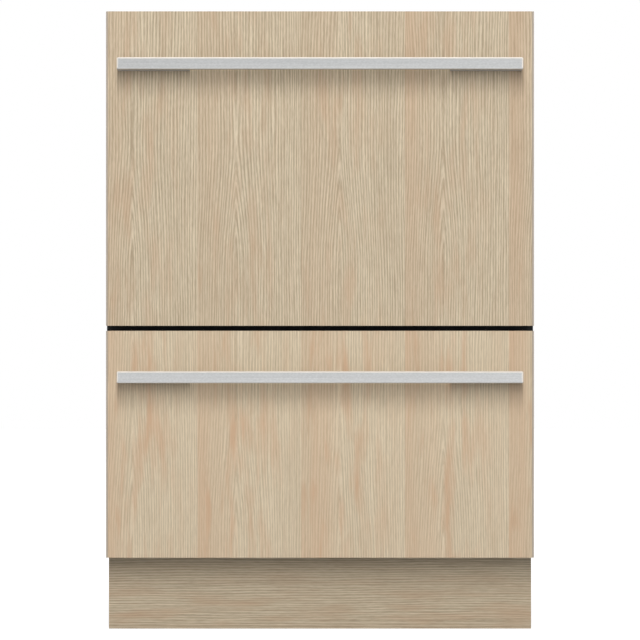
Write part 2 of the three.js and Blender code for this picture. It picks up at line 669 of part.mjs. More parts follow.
function handle(handleZ) {
  const half = handleHalf;
  const barBackY = handleFrontY + HANDLE_BAR_DEPTH;
  const halfHeight = HANDLE_HEIGHT / 2;
  const section = polygon([
    [handleFrontY, handleZ - halfHeight + HANDLE_BEVEL], [handleFrontY + HANDLE_BEVEL, handleZ - halfHeight],
    [barBackY, handleZ - halfHeight], [barBackY, handleZ + halfHeight],
    [handleFrontY + HANDLE_BEVEL, handleZ + halfHeight], [handleFrontY, handleZ + halfHeight - HANDLE_BEVEL],
  ]);
  const posts = Object.values(sides).map((side) => block(
    across(side, half - HANDLE_POST_LENGTH, half), [barBackY - OVERCUT, panelFrontY - FIT_GAP],
    around(handleZ, HANDLE_POST_HEIGHT / 2)));
  const studs = studPlaces(handleZ).map(([x, z]) => alongY(circle(x, z, STUD_RADIUS, SMALL_SIDES),
    panelFrontY - FIT_GAP - OVERCUT, frameFrontY + STUD_BITE));
  return join(alongX(section, -half, half), ...posts, ...studs);
}

function frontFrame(height) {
  const half = PANEL_WIDTH / 2 - FRAME_INSET;
  const [low, high] = [FRAME_INSET, height - FRAME_INSET];
  const ring = rectangle([-half, half], [low, high]);
  ring.holes.push(rectangle([-half + FRAME_SHEET, half - FRAME_SHEET], [low + FRAME_SHEET, high - FRAME_SHEET]));
  const skin = block([-half, half], [frameBackY - FRAME_SHEET, frameBackY], [low, high]);
  const stripGap = block(around(0, STRIP_LENGTH / 2 + FIT_GAP),
    [frameFrontY - OVERCUT, frameBackY - FRAME_SHEET], [high - FRAME_SHEET - OVERCUT, high + OVERCUT]);
  return join(cut(alongY(ring, frameFrontY, frameBackY), stripGap), skin);
}

function buttonOutline(grow) {
  return roundedRectangle(around(0, BUTTON_LENGTH / 2 + grow), around(0, BUTTON_WIDTH / 2 + grow),
    BUTTON_CORNER + grow);
}

function controlStrip() {
  const well = alongZ(buttonOutline(FIT_GAP), -BUTTON_WELL, OVERCUT);
  return cut(
    block(around(0, STRIP_LENGTH / 2), around(0, STRIP_DEPTH / 2), [-STRIP_HEIGHT, 0]),
    well.translate([-BUTTON_OFFSET, 0, 0]),
    well.translate([BUTTON_OFFSET, 0, 0]),
  );
}

function pushButton() {
  return alongZ(buttonOutline(0), -BUTTON_SUNK, BUTTON_PROUD);
}

// ---------------------------------------------------------------- wash tub, drawn above its floor at z = 0
function tub(depth) {
  const outer = roundedRectangle([-tubHalf, tubHalf], [tubFrontY, tubBackY], TUB_CORNER);
  const inner = roundedRectangle([-tubHalf + TUB_WALL, tubHalf - TUB_WALL],
    [tubFrontY + TUB_WALL, tubBackY - TUB_WALL], TUB_CORNER - TUB_WALL);
  const rim = roundedRectangle([-rimHalf, rimHalf], [tubFrontY, rimBackY], LID_CORNER);
  const bracketZ = LINK_RISE + 2 * (LINK_HEIGHT + FIT_GAP);
  const bracketX = pivotX;
  const bracket = block([bracketX - LINK_HALF_WIDTH, bracketX + LINK_HALF_WIDTH],
    [tubBackY - TUB_CORNER, linkY + LINK_HALF_WIDTH], [bracketZ, bracketZ + LINK_BRACKET_THICKNESS]);
  const gusset = alongX(polygon([
    [tubBackY - TUB_CORNER, bracketZ], [linkY, bracketZ + LINK_BRACKET_THICKNESS],
    [tubBackY - TUB_CORNER, bracketZ + SERVICE_DEPTH],
  ]), bracketX - TUB_WALL / 2, bracketX + TUB_WALL / 2);
  const pin = alongZ(circle(bracketX, linkY, LINK_PIN_RADIUS, SMALL_SIDES),
    bracketZ - LINK_HEIGHT + LINK_WALL, bracketZ + LINK_BRACKET_THICKNESS / 2);
  const ledges = Object.values(sides).flatMap((side) => [0.25, 0.75].map((share) => block(
    across(side, rackHalf - LEDGE_LAP, tubHalf - TUB_WALL / 2),
    around(rackFrontY + share * (rackBackY - rackFrontY), LEDGE_LENGTH / 2),
    [RACK_RISE - FIT_GAP - LEDGE_THICKNESS, RACK_RISE - FIT_GAP])));
  const body = join(
    alongZ(outer, -TUB_WALL, depth),
    alongZ(rim, depth - RIM_THICKNESS, depth),
    alongZ(circle(0, sumpY, SUMP_RADIUS), -SUMP_DEPTH - TUB_WALL, 0),
    bracket,
    gusset,
    pin,
  );
  const hollow = cut(
    body,
    alongZ(inner, 0, depth + OVERCUT),
    alongZ(circle(0, sumpY, SUMP_RADIUS - TUB_WALL), -SUMP_DEPTH, OVERCUT),
  );
  return join(hollow, ...ledges);
}

function washMotor() {
  const top = -SUMP_DEPTH - TUB_WALL - FIT_GAP;
  const middle = top - MOTOR_HEIGHT / 2;
  const can = alongZ(circle(0, 0, MOTOR_RADIUS), top - MOTOR_HEIGHT, top, SPRAY_BEVEL);
  const outlet = alongY(circle(0, middle, PUMP_RADIUS, SMALL_SIDES), MOTOR_RADIUS - PUMP_RADIUS,
    MOTOR_RADIUS + PUMP_LENGTH);
  return join(can, outlet);
}

function filterPlate() {
  const disc = alongZ(circle(0, 0, FILTER_RADIUS), FIT_GAP, FIT_GAP + FILTER_THICKNESS);
  const spigot = alongZ(circle(0, 0, SPIGOT_RADIUS), FIT_GAP, SPIGOT_HEIGHT);
  const knob = alongZ(circle(0, -FILTER_RADIUS + 2 * FILTER_KNOB_RADIUS, FILTER_KNOB_RADIUS, SMALL_SIDES),
    FIT_GAP, FIT_GAP + FILTER_KNOB_HEIGHT);
  const slots = Array.from({ length: FILTER_SLOTS }, (_, i) => {
    const slot = new THREE.BoxGeometry(FILTER_SLOT_LENGTH, FILTER_SLOT_WIDTH, 4 * FILTER_THICKNESS);
    slot.translate(FILTER_SLOT_START + FILTER_SLOT_LENGTH / 2, 0, 0);
    slot.rotateZ((2 * Math.PI * (i + 0.5)) / FILTER_SLOTS);
    return solid(slot);
  });
  return join(cut(disc, ...slots), spigot, knob);
}

// The arm turns about z, with its underside at z = 0.
function sprayArm() {
  const bladeEnd = SPRAY_RADIUS - SPRAY_TIP_RADIUS;
  const quarter = Math.PI / 2;
  const outline = new THREE.Shape()
    .absarc(bladeEnd, 0, SPRAY_TIP_RADIUS, -quarter, quarter)
    .lineTo(SPRAY_HUB_RADIUS, SPRAY_HALF_WIDTH)
    .lineTo(-SPRAY_HUB_RADIUS, SPRAY_HALF_WIDTH)
    .absarc(-bladeEnd, 0, SPRAY_TIP_RADIUS, quarter, 3 * quarter)
    .lineTo(-SPRAY_HUB_RADIUS, -SPRAY_HALF_WIDTH)
    .lineTo(SPRAY_HUB_RADIUS, -SPRAY_HALF_WIDTH);
  const hubLow = -SPRAY_HEIGHT + FILTER_THICKNESS + 2 * FIT_GAP;
  const pitch = (bladeEnd - SPRAY_HUB_RADIUS) / JETS_PER_BLADE;
  const jets = [-1, 1].flatMap((blade) => Array.from({ length: JETS_PER_BLADE }, (_, i) => alongZ(
    circle(blade * (SPRAY_HUB_RADIUS + (i + 1) * pitch), 0, JET_RADIUS, 6),
    SPRAY_THICKNESS - JET_DEPTH, SPRAY_THICKNESS + OVERCUT)));
  const spigotTop = SPIGOT_HEIGHT - SPRAY_HEIGHT;
  return cut(
    join(alongZ(outline, 0, SPRAY_THICKNESS, SPRAY_BEVEL),
      alongZ(circle(0, 0, SPRAY_HUB_RADIUS), hubLow, SPRAY_THICKNESS + SPRAY_BEVEL)),
    alongZ(circle(0, 0, SPIGOT_RADIUS + BARREL_GAP), hubLow - OVERCUT, spigotTop + FIT_GAP),
    ...jets,
  );
}

// ---------------------------------------------------------------- racks and baskets
const spread = (count, low, high) => Array.from({ length: count }, (_, i) => low + ((high - low) * i) / (count - 1));

function wireLoop([x0, x1], [y0, y1], [z0, z1]) {
  const loop = rectangle([x0, x1], [y0, y1]);
  loop.holes.push(rectangle([x0 + WIRE, x1 - WIRE], [y0 + WIRE, y1 - WIRE]));
  return alongZ(loop, z0, z1);
}

function dishRack(height, hasCupRack) {
  const hasMiddleLoop = height > TALL_RACK;
  const half = rackHalf;
  const longXs = spread(RACK_LONG_BARS, -half + WIRE / 2, half - WIRE / 2);
  const crossYs = spread(RACK_CROSS_BARS, rackFrontY + WIRE / 2, rackBackY - WIRE / 2);
  const base = [RACK_RISE, RACK_RISE + WIRE];
  const rimZ = height - RIM_WIRE_HEIGHT;
  const middleZ = (RACK_RISE + height) / 2;
  const thin = (middle) => around(middle, WIRE / 2);
  const bars = [
    ...longXs.map((x) => block(thin(x), [rackFrontY, rackBackY], base)),
    ...crossYs.map((y) => block([-half, half], thin(y), base)),
  ];
  const uprights = [
    ...longXs.flatMap((x) => [crossYs[0], crossYs.at(-1)].map((y) => [x, y])),
    ...crossYs.slice(1, -1).flatMap((y) => [longXs[0], longXs.at(-1)].map((x) => [x, y])),
  ].map(([x, y]) => block(thin(x), thin(y), [RACK_RISE, rimZ]));
  const tineStep = (rackBackY - rackFrontY) / TINES_PER_ROW;
  const tineYs = spread(TINES_PER_ROW, rackFrontY + tineStep / 2, rackBackY - tineStep / 2);
  const tines = longXs.slice(1, 1 + TINE_ROWS).flatMap((x) => tineYs.map((y) => block(thin(x), thin(y),
    [RACK_RISE, RACK_RISE + WIRE + TINE_HEIGHT])));
  const ears = hasCupRack ? cupRackEars(height) : [];
  const middleLoops = hasMiddleLoop
    ? [wireLoop([-half, half], [rackFrontY, rackBackY], around(middleZ, WIRE / 2))]
    : [];
  return join(
    wireLoop([-half, half], [rackFrontY, rackBackY], [rimZ, height]),
    ...middleLoops,
    ...bars,
    ...uprights,
    ...tines,
    ...ears,
  );
}

const cupHingeX = WIRE - rackHalf;
const cupRackMiddleY = (rackFrontY + rackBackY) / 2;

function cupRackEars(height) {
  const hingeZ = height + CUP_RACK_RISE;
  const reach = CUP_HINGE_RADIUS + BARREL_GAP + CUP_EAR_WALL;
  const earMiddle = CUP_RACK_LENGTH / 2 + CUP_EAR_LENGTH / 2 + FIT_GAP;
  return [-1, 1].map((end) => {
    const y = around(cupRackMiddleY + end * earMiddle, CUP_EAR_LENGTH / 2);
    return cut(
      block(around(cupHingeX, reach), y, [height - RIM_WIRE_HEIGHT, hingeZ + reach]),
      alongY(circle(cupHingeX, hingeZ, CUP_HINGE_RADIUS + BARREL_GAP, SMALL_SIDES),
        y[0] - OVERCUT, y[1] + OVERCUT),
    );
  });
}

// The shelf turns about y at its left edge, where x and z are 0.
function cupRack() {
  const half = CUP_RACK_LENGTH / 2;
  const hinge = alongY(circle(0, 0, CUP_HINGE_RADIUS, SMALL_SIDES), -half - CUP_EAR_LENGTH,
    half + CUP_EAR_LENGTH);
  const [low, high] = around(0, CUP_HINGE_RADIUS * 0.9);
  const bars = spread(CUP_RACK_BARS, -half + WIRE / 2, half - WIRE / 2)
    .map((y) => block([0, CUP_RACK_WIDTH], around(y, WIRE / 2), [low, high]));
  const edges = [0.5, 1].map((share) => block([share * CUP_RACK_WIDTH - WIRE, share * CUP_RACK_WIDTH],
    [-half, half], [low, high]));
  return join(hinge, ...bars, ...edges);
}

// The basket stands on z = 0, with its front right corner at the origin's corner of the rack.
function cutleryBasket() {
  const x = [-BASKET_WIDTH, 0];
  const y = [0, BASKET_LENGTH];
  const wall = BASKET_WALL;
  const cell = (BASKET_LENGTH - wall) / BASKET_CELLS;
  const cells = Array.from({ length: BASKET_CELLS }, (_, i) => block([x[0] + wall, x[1] - wall],
    [wall + i * cell, (i + 1) * cell], [wall, BASKET_HEIGHT + OVERCUT]));
  const slotZ = [BASKET_HEIGHT * 0.2, BASKET_HEIGHT * 0.75];
  const sideSlots = Array.from({ length: BASKET_CELLS }, (_, i) => block(
    [x[0] - OVERCUT, x[1] + OVERCUT], around(wall / 2 + (i + 0.5) * cell, BASKET_SLOT_WIDTH / 2), slotZ));
  const endSlot = block(around(x[0] / 2, BASKET_SLOT_WIDTH / 2), [y[0] - OVERCUT, wall + OVERCUT], slotZ);
  return cut(block(x, y, [0, BASKET_HEIGHT]), ...cells, ...sideSlots, endSlot);
}

// ---------------------------------------------------------------- detergent dispenser, in x and z about its middle
const dispenserFrontY = tubFrontY + TUB_WALL + FIT_GAP;
const dispenserFaceY = dispenserFrontY + DISPENSER_DEPTH;
const cupMiddleX = DISPENSER_WIDTH / 2 - CUP_MARGIN - DOOR_LAP - CUP_WIDTH / 2;
const doorHalfWidth = CUP_WIDTH / 2 + DOOR_LAP;
const doorHeight = CUP_HEIGHT + 2 * DOOR_LAP;
const doorHingeY = dispenserFaceY + FIT_GAP + DOOR_THICKNESS / 2;
const doorHingeZ = -doorHeight / 2 + DOOR_THICKNESS / 2;

function dispenser() {
  const half = DISPENSER_WIDTH / 2;
  const body = alongY(roundedRectangle([-half, half], around(0, DISPENSER_HEIGHT / 2), CUP_MARGIN / 2),
    dispenserFrontY, dispenserFaceY);
  const cup = block(around(cupMiddleX, CUP_WIDTH / 2), [dispenserFaceY - CUP_DEPTH, dispenserFaceY + OVERCUT],
    around(0, CUP_HEIGHT / 2));
  const rinseCap = alongY(circle(-half + CUP_MARGIN + RINSE_CAP_RADIUS, 0, RINSE_CAP_RADIUS),
    dispenserFaceY - OVERCUT, dispenserFaceY + RINSE_CAP_PROUD);
  const ears = [-1, 1].map((end) => {
    const x = span(cupMiddleX + end * (doorHalfWidth + FIT_GAP),
      cupMiddleX + end * (doorHalfWidth + FIT_GAP + DOOR_EAR));
    return cut(
      block(x, [dispenserFaceY - OVERCUT, doorHingeY + DOOR_EAR], around(doorHingeZ, DOOR_EAR)),
      alongX(circle(doorHingeY, doorHingeZ, DOOR_PIN_RADIUS + BARREL_GAP, SMALL_SIDES),
        x[0] - OVERCUT, x[1] + OVERCUT),
    );
  });
  return join(cut(body, cup), rinseCap, ...ears);
}

// The door turns about x, where y and z are 0.
function dispenserDoor() {
  const half = DOOR_THICKNESS / 2;
  const barrel = alongX(circle(0, 0, half, SMALL_SIDES), -doorHalfWidth, doorHalfWidth);
  const pin = alongX(circle(0, 0, DOOR_PIN_RADIUS, SMALL_SIDES),
    -doorHalfWidth - DOOR_PIN_LENGTH, doorHalfWidth + DOOR_PIN_LENGTH);
  return join(block(around(0, doorHalfWidth), around(0, half), [0, doorHeight - half]), barrel, pin);
}

// ---------------------------------------------------------------- lid, drawn above its own underside
function lid() {
  const frontY = chassisFrontY + LID_SET_IN;
  const outline = roundedRectangle([-rimHalf, rimHalf], [frontY, rimBackY], LID_CORNER);
  const inner = roundedRectangle([-rimHalf + 2 * RIM_WIDTH, rimHalf - 2 * RIM_WIDTH],
    [frontY + 2 * RIM_WIDTH, rimBackY - 2 * RIM_WIDTH], LID_CORNER / 2);
  const pins = Object.values(sides).flatMap((side) => guideYs.map((y) => alongX(
    circle(y, LID_THICKNESS / 2, LID_PIN_RADIUS, SMALL_SIDES),
    ...across(side, rimHalf - OVERCUT, rimHalf + LID_PIN_LENGTH))));
  const plate = cut(
    alongZ(outline, 0, LID_THICKNESS, SPRAY_BEVEL),
    alongZ(inner, LID_THICKNESS - LID_RECESS, LID_THICKNESS + OVERCUT),
    alongZ(inner, -OVERCUT, LID_RECESS),
  );
  return join(plate, ...pins);
}

function lidSeal() {
  const frontY = chassisFrontY + LID_SET_IN;
  const inset = SPRAY_BEVEL;
  const outline = roundedRectangle([-rimHalf + inset, rimHalf - inset], [frontY + inset, rimBackY - inset],
    LID_CORNER - inset);
  const far = inset + LID_SEAL_WIDTH;
  outline.holes.push(roundedRectangle([-rimHalf + far, rimHalf - far], [frontY + far, rimBackY - far],
    LID_CORNER - far));
  return alongZ(outline, 0, LID_SEAL_HEIGHT);
}

// ---------------------------------------------------------------- service links
// Each arm is a channel that runs left from its pivot at x = 0, with its underside at z = 0.
function linkOutline(farRadius) {
  const quarter = Math.PI / 2;
  return new THREE.Shape()
    .absarc(0, 0, LINK_HALF_WIDTH, -quarter, quarter)
    .lineTo(-linkLength, farRadius)
    .absarc(-linkLength, 0, farRadius, quarter, 3 * quarter);
}

function linkPocket() {
  const half = LINK_HALF_WIDTH - LINK_WALL;
  return block([-linkLength + 2 * LINK_EYE_RADIUS, -2 * LINK_EYE_RADIUS], [-half, half],
    [LINK_WALL, LINK_HEIGHT + OVERCUT]);
}

function rearLinkArm() {
  const socket = alongZ(circle(0, 0, LINK_PIN_RADIUS + BARREL_GAP, SMALL_SIDES), -OVERCUT,
    LINK_HEIGHT + OVERCUT);
  const elbow = alongZ(circle(-linkLength, 0, LINK_PIN_RADIUS, SMALL_SIDES), LINK_WALL,
    2 * LINK_HEIGHT + FIT_GAP - LINK_WALL);
  return join(cut(alongZ(linkOutline(LINK_HALF_WIDTH), 0, LINK_HEIGHT), linkPocket(), socket), elbow);
}

// The front arm's pivot is the elbow; it runs right, back to the pin on the tub.
function frontLinkArm() {
  const quarter = Math.PI / 2;
  const outline = new THREE.Shape()
    .absarc(linkLength, 0, LINK_EYE_RADIUS, -quarter, quarter)
    .lineTo(linkLength - LINK_EYE_RADIUS, LINK_HALF_WIDTH)
    .absarc(0, 0, LINK_HALF_WIDTH, quarter, 3 * quarter)
    .lineTo(linkLength - LINK_EYE_RADIUS, -LINK_HALF_WIDTH);
  const half = LINK_HALF_WIDTH - LINK_WALL;
  const pocket = block([2 * LINK_EYE_RADIUS, linkLength - 2 * LINK_EYE_RADIUS], [-half, half],
    [LINK_WALL, LINK_HEIGHT + OVERCUT]);
  const elbowHole = alongZ(circle(0, 0, LINK_PIN_RADIUS + BARREL_GAP, SMALL_SIDES), -OVERCUT,
    LINK_HEIGHT + OVERCUT);
  const freeHole = alongZ(circle(linkLength, 0, LINK_FREE_HOLE_RADIUS, SMALL_SIDES), -OVERCUT,
    LINK_HEIGHT + OVERCUT);
  return cut(alongZ(outline, 0, LINK_HEIGHT), pocket, elbowHole, freeHole);
}

// ---------------------------------------------------------------- assembly
function place(piece, x, y, z) {
  piece.position.set(x, y, z);
  return piece;
}

function buildChassis() {
  const group = new THREE.Group();
  group.name = 'chassis';
  group.add(
    mesh('chassis_shell', chassisShell(), ZINC),
    mesh('rear_panel', rearPanel(), ZINC),
    mesh('divider_shelf', dividerShelf(), ZINC),
    mesh('base_pan', basePan(), BLACK_PLASTIC),
    mesh('front_seal', frontSeal(), BLACK_RUBBER),
    mesh('plinth_board', plinthBoard(), PLINTH_TIMBER),
    mesh('water_inlet_valve', waterInletValve(), PALE_PLASTIC),
    mesh('service_bulkhead', serviceBulkhead(), BLACK_PLASTIC),
    mesh('control_module', controlModule(), BLACK_PLASTIC),
  );
  for (const [name, [side, y]] of Object.entries(footPlaces)) {
    group.add(place(mesh(`levelling_foot_${name}`, levellingFoot(), BLACK_PLASTIC), side * footX, y, 0));
  }
  for (const [drawer, floorZ] of [['upper', upperFloorZ], ['lower', lowerFloorZ]]) {
    for (const [name, side] of Object.entries(sides)) {
      group.add(place(mesh(`${drawer}_fixed_rail_${name}`, fixedRail(side), ZINC), 0, 0, floorZ + RAIL_RISE));
    }
  }
  return group;
}

// Everything that belongs to one drawer, in a group whose origin is level with the tub's floor.
function buildDrawer({ name, floorZ, rimZ, panelZ, panelHeight, handleDrop, rackHeight, hasCupRack }) {
  const depth = rimZ - floorZ;
  const lidZ = depth + FIT_GAP + LID_TRAVEL;
  const stripTop = panelZ + panelHeight - FRAME_INSET - floorZ;
  const stripY = frameBackY - FRAME_SHEET - FIT_GAP - STRIP_DEPTH / 2;
  const handleZ = panelHeight - handleDrop;
  const frontZ = panelZ - floorZ;
  const group = new THREE.Group();
  group.name = `${name}_drawer`;
  group.position.z = floorZ;
  group.add(
    place(mesh(`${name}_timber_panel`, timberPanel(panelHeight, handleZ), TIMBER), 0, 0, frontZ),
    place(mesh(`${name}_handle`, handle(handleZ), SATIN_METAL), 0, 0, frontZ),
    place(mesh(`${name}_front_frame`, frontFrame(panelHeight), DARK_ENAMEL), 0, 0, frontZ),
    place(mesh(`${name}_control_strip`, controlStrip(), BLACK_PLASTIC), 0, stripY, stripTop),
    place(mesh(`${name}_power_button`, pushButton(), SATIN_METAL), -BUTTON_OFFSET, stripY, stripTop),
    place(mesh(`${name}_start_button`, pushButton(), SATIN_METAL), BUTTON_OFFSET, stripY, stripTop),
    place(mesh(`${name}_carriage`, carriage(), ZINC), 0, 0, RAIL_RISE),
    place(mesh(`${name}_middle_rail_left`, middleRail(sides.left), ZINC), 0, 0, RAIL_RISE),
    place(mesh(`${name}_middle_rail_right`, middleRail(sides.right), ZINC), 0, 0, RAIL_RISE),
    mesh(`${name}_tub`, tub(depth), TUB_PLASTIC),
    place(mesh(`${name}_wash_motor`, washMotor(), BLACK_PLASTIC), 0, sumpY, 0),
    place(mesh(`${name}_filter_plate`, filterPlate(), PALE_PLASTIC), 0, sumpY, 0),
    place(mesh(`${name}_spray_arm`, sprayArm(), PALE_PLASTIC), 0, sumpY, SPRAY_HEIGHT),
    mesh(`${name}_dish_rack`, dishRack(rackHeight, hasCupRack), RACK_COATING),
    place(mesh(`${name}_cutlery_basket`, cutleryBasket(), BLUE_PLASTIC),
      rackHalf - BASKET_SIDE_GAP, rackFrontY + BASKET_FRONT_GAP, RACK_RISE + WIRE + FIT_GAP),
    place(mesh(`${name}_dispenser`, dispenser(), PALE_PLASTIC),
      DISPENSER_OFFSET, 0, depth - DISPENSER_DROP - DISPENSER_HEIGHT / 2),
    place(mesh(`${name}_dispenser_door`, dispenserDoor(), TUB_PLASTIC),
      DISPENSER_OFFSET + cupMiddleX, doorHingeY, depth - DISPENSER_DROP - DISPENSER_HEIGHT / 2 + doorHingeZ),
    place(mesh(`${name}_lid`, lid(), TUB_PLASTIC), 0, 0, lidZ + LID_SEAL_HEIGHT + FIT_GAP),
    place(mesh(`${name}_lid_seal`, lidSeal(), BLACK_RUBBER), 0, 0, lidZ),
    place(mesh(`${name}_rear_link_arm`, rearLinkArm(), BLACK_PLASTIC), pivotX, linkY, LINK_RISE),
    place(mesh(`${name}_front_link_arm`, frontLinkArm(), BLACK_PLASTIC),
      -pivotX, linkY, LINK_RISE + LINK_HEIGHT + FIT_GAP),
  );
  if (hasCupRack) {
    group.add(place(mesh(`${name}_cup_rack`, cupRack(), RACK_COATING),
      cupHingeX, cupRackMiddleY, rackHeight + CUP_RACK_RISE));
  }
  return group;
}

const dishwasher = new THREE.Group();
dishwasher.name = 'double_drawer_dishwasher';
dishwasher.add(
  buildChassis(),
  buildDrawer({
    name: 'upper',
    floorZ: upperFloorZ,
    rimZ: upperRimZ,
    panelZ: lowerPanelTopZ + PANEL_GAP,
    panelHeight: UPPER_PANEL_HEIGHT,
    handleDrop: UPPER_HANDLE_DROP,
    rackHeight: UPPER_RACK_HEIGHT,
    hasCupRack: true,
  }),
  buildDrawer({
    name: 'lower',
    floorZ: lowerFloorZ,
    rimZ: lowerRimZ,
    panelZ: PLINTH_REVEAL,
    panelHeight: LOWER_PANEL_HEIGHT,
    handleDrop: LOWER_HANDLE_DROP,
    rackHeight: LOWER_RACK_HEIGHT,
    hasCupRack: false,
  }),
);

export default dishwasher;
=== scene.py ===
"""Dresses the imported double-drawer dishwasher: fine meshes, finishes, stage and camera. Metres, +Z up."""

import math
from functools import partial, reduce

import bmesh
import bpy
from bpy.props import FloatProperty, FloatVectorProperty, IntProperty, PointerProperty
from mathutils import Matrix, Vector


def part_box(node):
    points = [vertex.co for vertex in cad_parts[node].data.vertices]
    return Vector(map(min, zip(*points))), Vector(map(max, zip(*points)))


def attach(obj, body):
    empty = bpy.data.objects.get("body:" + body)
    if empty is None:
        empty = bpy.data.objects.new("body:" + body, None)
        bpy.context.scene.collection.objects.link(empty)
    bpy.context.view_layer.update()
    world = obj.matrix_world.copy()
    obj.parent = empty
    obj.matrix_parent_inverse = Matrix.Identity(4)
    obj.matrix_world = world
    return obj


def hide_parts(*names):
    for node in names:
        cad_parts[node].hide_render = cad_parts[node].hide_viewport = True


bl_info = {
    "name": "Double-drawer dishwasher",
    "version": (1, 0, 0),
    "blender": (4, 5, 0),
    "location": "View3D > Sidebar > Dishwasher",
    "description": "Builds the fronts, drawers, racks and chassis of a built-in dishwasher",
    "category": "Add Mesh",
}

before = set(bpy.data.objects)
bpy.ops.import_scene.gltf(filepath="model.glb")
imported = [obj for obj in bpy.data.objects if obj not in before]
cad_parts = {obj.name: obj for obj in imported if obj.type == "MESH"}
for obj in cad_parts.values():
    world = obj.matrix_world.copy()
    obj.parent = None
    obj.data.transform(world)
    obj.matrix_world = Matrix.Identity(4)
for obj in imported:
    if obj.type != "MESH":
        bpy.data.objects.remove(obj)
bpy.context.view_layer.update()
MM = 0.001
DRAWERS = ("upper", "lower")
SIDES = {"left": -1, "right": 1}
CLEAR = 0.3  # room between a piece and its neighbour, in millimetres
SAME_PLACE = 0.0005  # two corners nearer than this are one, in millimetres
SEAL_DROP = 12.3  # the lid's seal hangs this far above the tub's rim when the lid is up
SCREW_DROP = 1.7  # depth of the dimple that a screw sits in
LINK_PIN = 12  # from the end of a service link to its pin
ARM_RISE = 13  # the underside of a spray arm above the tub's floor
RACK_RIM = {"upper": 150, "lower": 112}  # the rim of a dish rack above the tub's floor
TINE_TIP = 100  # the tips of the tines above the tub's floor
LONGEST_SIDE = 45  # a sheet's outline has a corner at least this often
LEAST_CORNER = 0.35  # a press keeps this share of its corner's radius down to its floor
WELD = 0.002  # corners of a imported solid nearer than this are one, in millimetres
FLAT = 1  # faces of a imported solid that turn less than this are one, in degrees
SHARP = 35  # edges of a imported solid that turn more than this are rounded, in degrees
SOFT_EDGE = 0.5  # profile of a bevel that is part of a circle
SLOPE = ((0, 0), (0.25, 0.14), (0.5, 0.5), (0.75, 0.86), (1, 1))  # a pressed wall: share across, share down


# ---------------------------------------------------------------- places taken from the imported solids
def node_box(name):
    """Lowest corner, highest corner and middle of a solid, in millimetres."""
    low, high = (Vector(corner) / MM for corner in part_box(name))
    return low, high, (low + high) / 2


def levels(name, axis):
    """The different places of a node's corners along one axis, in millimetres, in order."""
    return sorted({round(corner.co[axis] / MM, 2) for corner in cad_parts[name].data.vertices})


def tub_floor(drawer):
    """Height of the tub's inside floor, which the filter plate lies just above."""
    return node_box(f"{drawer}_filter_plate")[0].z - CLEAR


def rim_height(drawer):
    """Height of the tub's rim."""
    return node_box(f"{drawer}_lid_seal")[0].z - SEAL_DROP


# ---------------------------------------------------------------- settings
def length(name, text, millimetres):
    return FloatProperty(name=name, description=text, default=millimetres * MM, unit="LENGTH",
                         subtype="DISTANCE")


def level(name, text, value, unit="NONE"):
    return FloatProperty(name=name, description=text, default=value, min=0, unit=unit)


def amount(name, text, count):
    return IntProperty(name=name, description=text, default=count, min=2)


def shade(name, text, red, green, blue):
    """A colour written as it looks on screen, 0 to 255, and kept as scene-linear."""
    values = [channel / 255 for channel in (red, green, blue)]
    linear = [v / 12.92 if v <= 0.04045 else ((v + 0.055) / 1.055) ** 2.4 for v in values]
    return FloatVectorProperty(name=name, description=text, default=linear, size=3, subtype="COLOR",
                               min=0, max=1)


class TimberSettings(bpy.types.PropertyGroup):
    light_tone: shade("Light streaks", "Colour of the pale early wood", 222, 207, 181)
    dark_tone: shade("Dark streaks", "Colour of the darker late wood", 172, 155, 130)
    rosy_tone: shade("Rosy bands", "Colour of the broad warm bands", 193, 162, 133)
    edge_tone: shade("Edge lipping", "Colour of the strips on the panels' sides", 178, 166, 152)
    streak_width: length("Streak width", "Spacing of the fine lines of grain", 3.45)
    leaf_width: length("Leaf width", "Width of one leaf of veneer", 144.5)
    leaf_edge: length("Leaf edge", "Place across the front of one joint between two leaves", -26)
    eased_edge: length("Eased edge", "Rounding of the boards' edges", 0.5)
    lipping: length("Lipping", "Width of the strips glued to the panels' sides", 2.6)


class HandleSettings(bpy.types.PropertyGroup):
    metal: shade("Metal", "Colour of the satin bars", 185, 186, 186)
    bar_depth: length("Bar depth", "Front to back of the bar", 12)
    post_length: length("Post length", "Length of the post behind each end of the bar", 100)
    post_height: length("Post height", "Height of the posts", 13)
    # The paler colour is a painted highlight: the light that the bar's upper and end chamfers catch.
    cut_edge: shade("Cut edge", "Colour of the bright chamfer round the bar", 230, 223, 214)
    bevel: length("Bevel", "Chamfer along the bar's edges", 1.9)


class ChassisSettings(bpy.types.PropertyGroup):
    zinc: shade("Zinc", "Colour of the coated sheet", 176, 180, 183)
    enamel: shade("Enamel", "Colour of the drawers' front frames", 39, 40, 42)
    sheet: length("Sheet", "Thickness of the wrapper", 1.5)
    swage_depth: length("Swage depth", "Depth of the panels pressed into the sheet", 3.2)
    swage_border: length("Swage border", "Flat border round each pressed panel", 26)
    screw_radius: length("Screw radius", "Radius of a screw's head", 3.6)
    screw_height: length("Screw height", "Height of a screw's head", 1.5)


class TubSettings(bpy.types.PropertyGroup):
    moulding: shade("Moulding", "Colour of the tubs, lids and dispenser doors", 158, 163, 166)
    pale: shade("Pale parts", "Colour of spray arms, filters and dispensers", 205, 208, 210)
    coving: length("Coving", "Radius between the tub's floor and walls", 16)
    corner: length("Corner", "Radius of the tub's corners in plan", 38)
    wall: length("Wall", "Thickness of the tub's wall", 3)


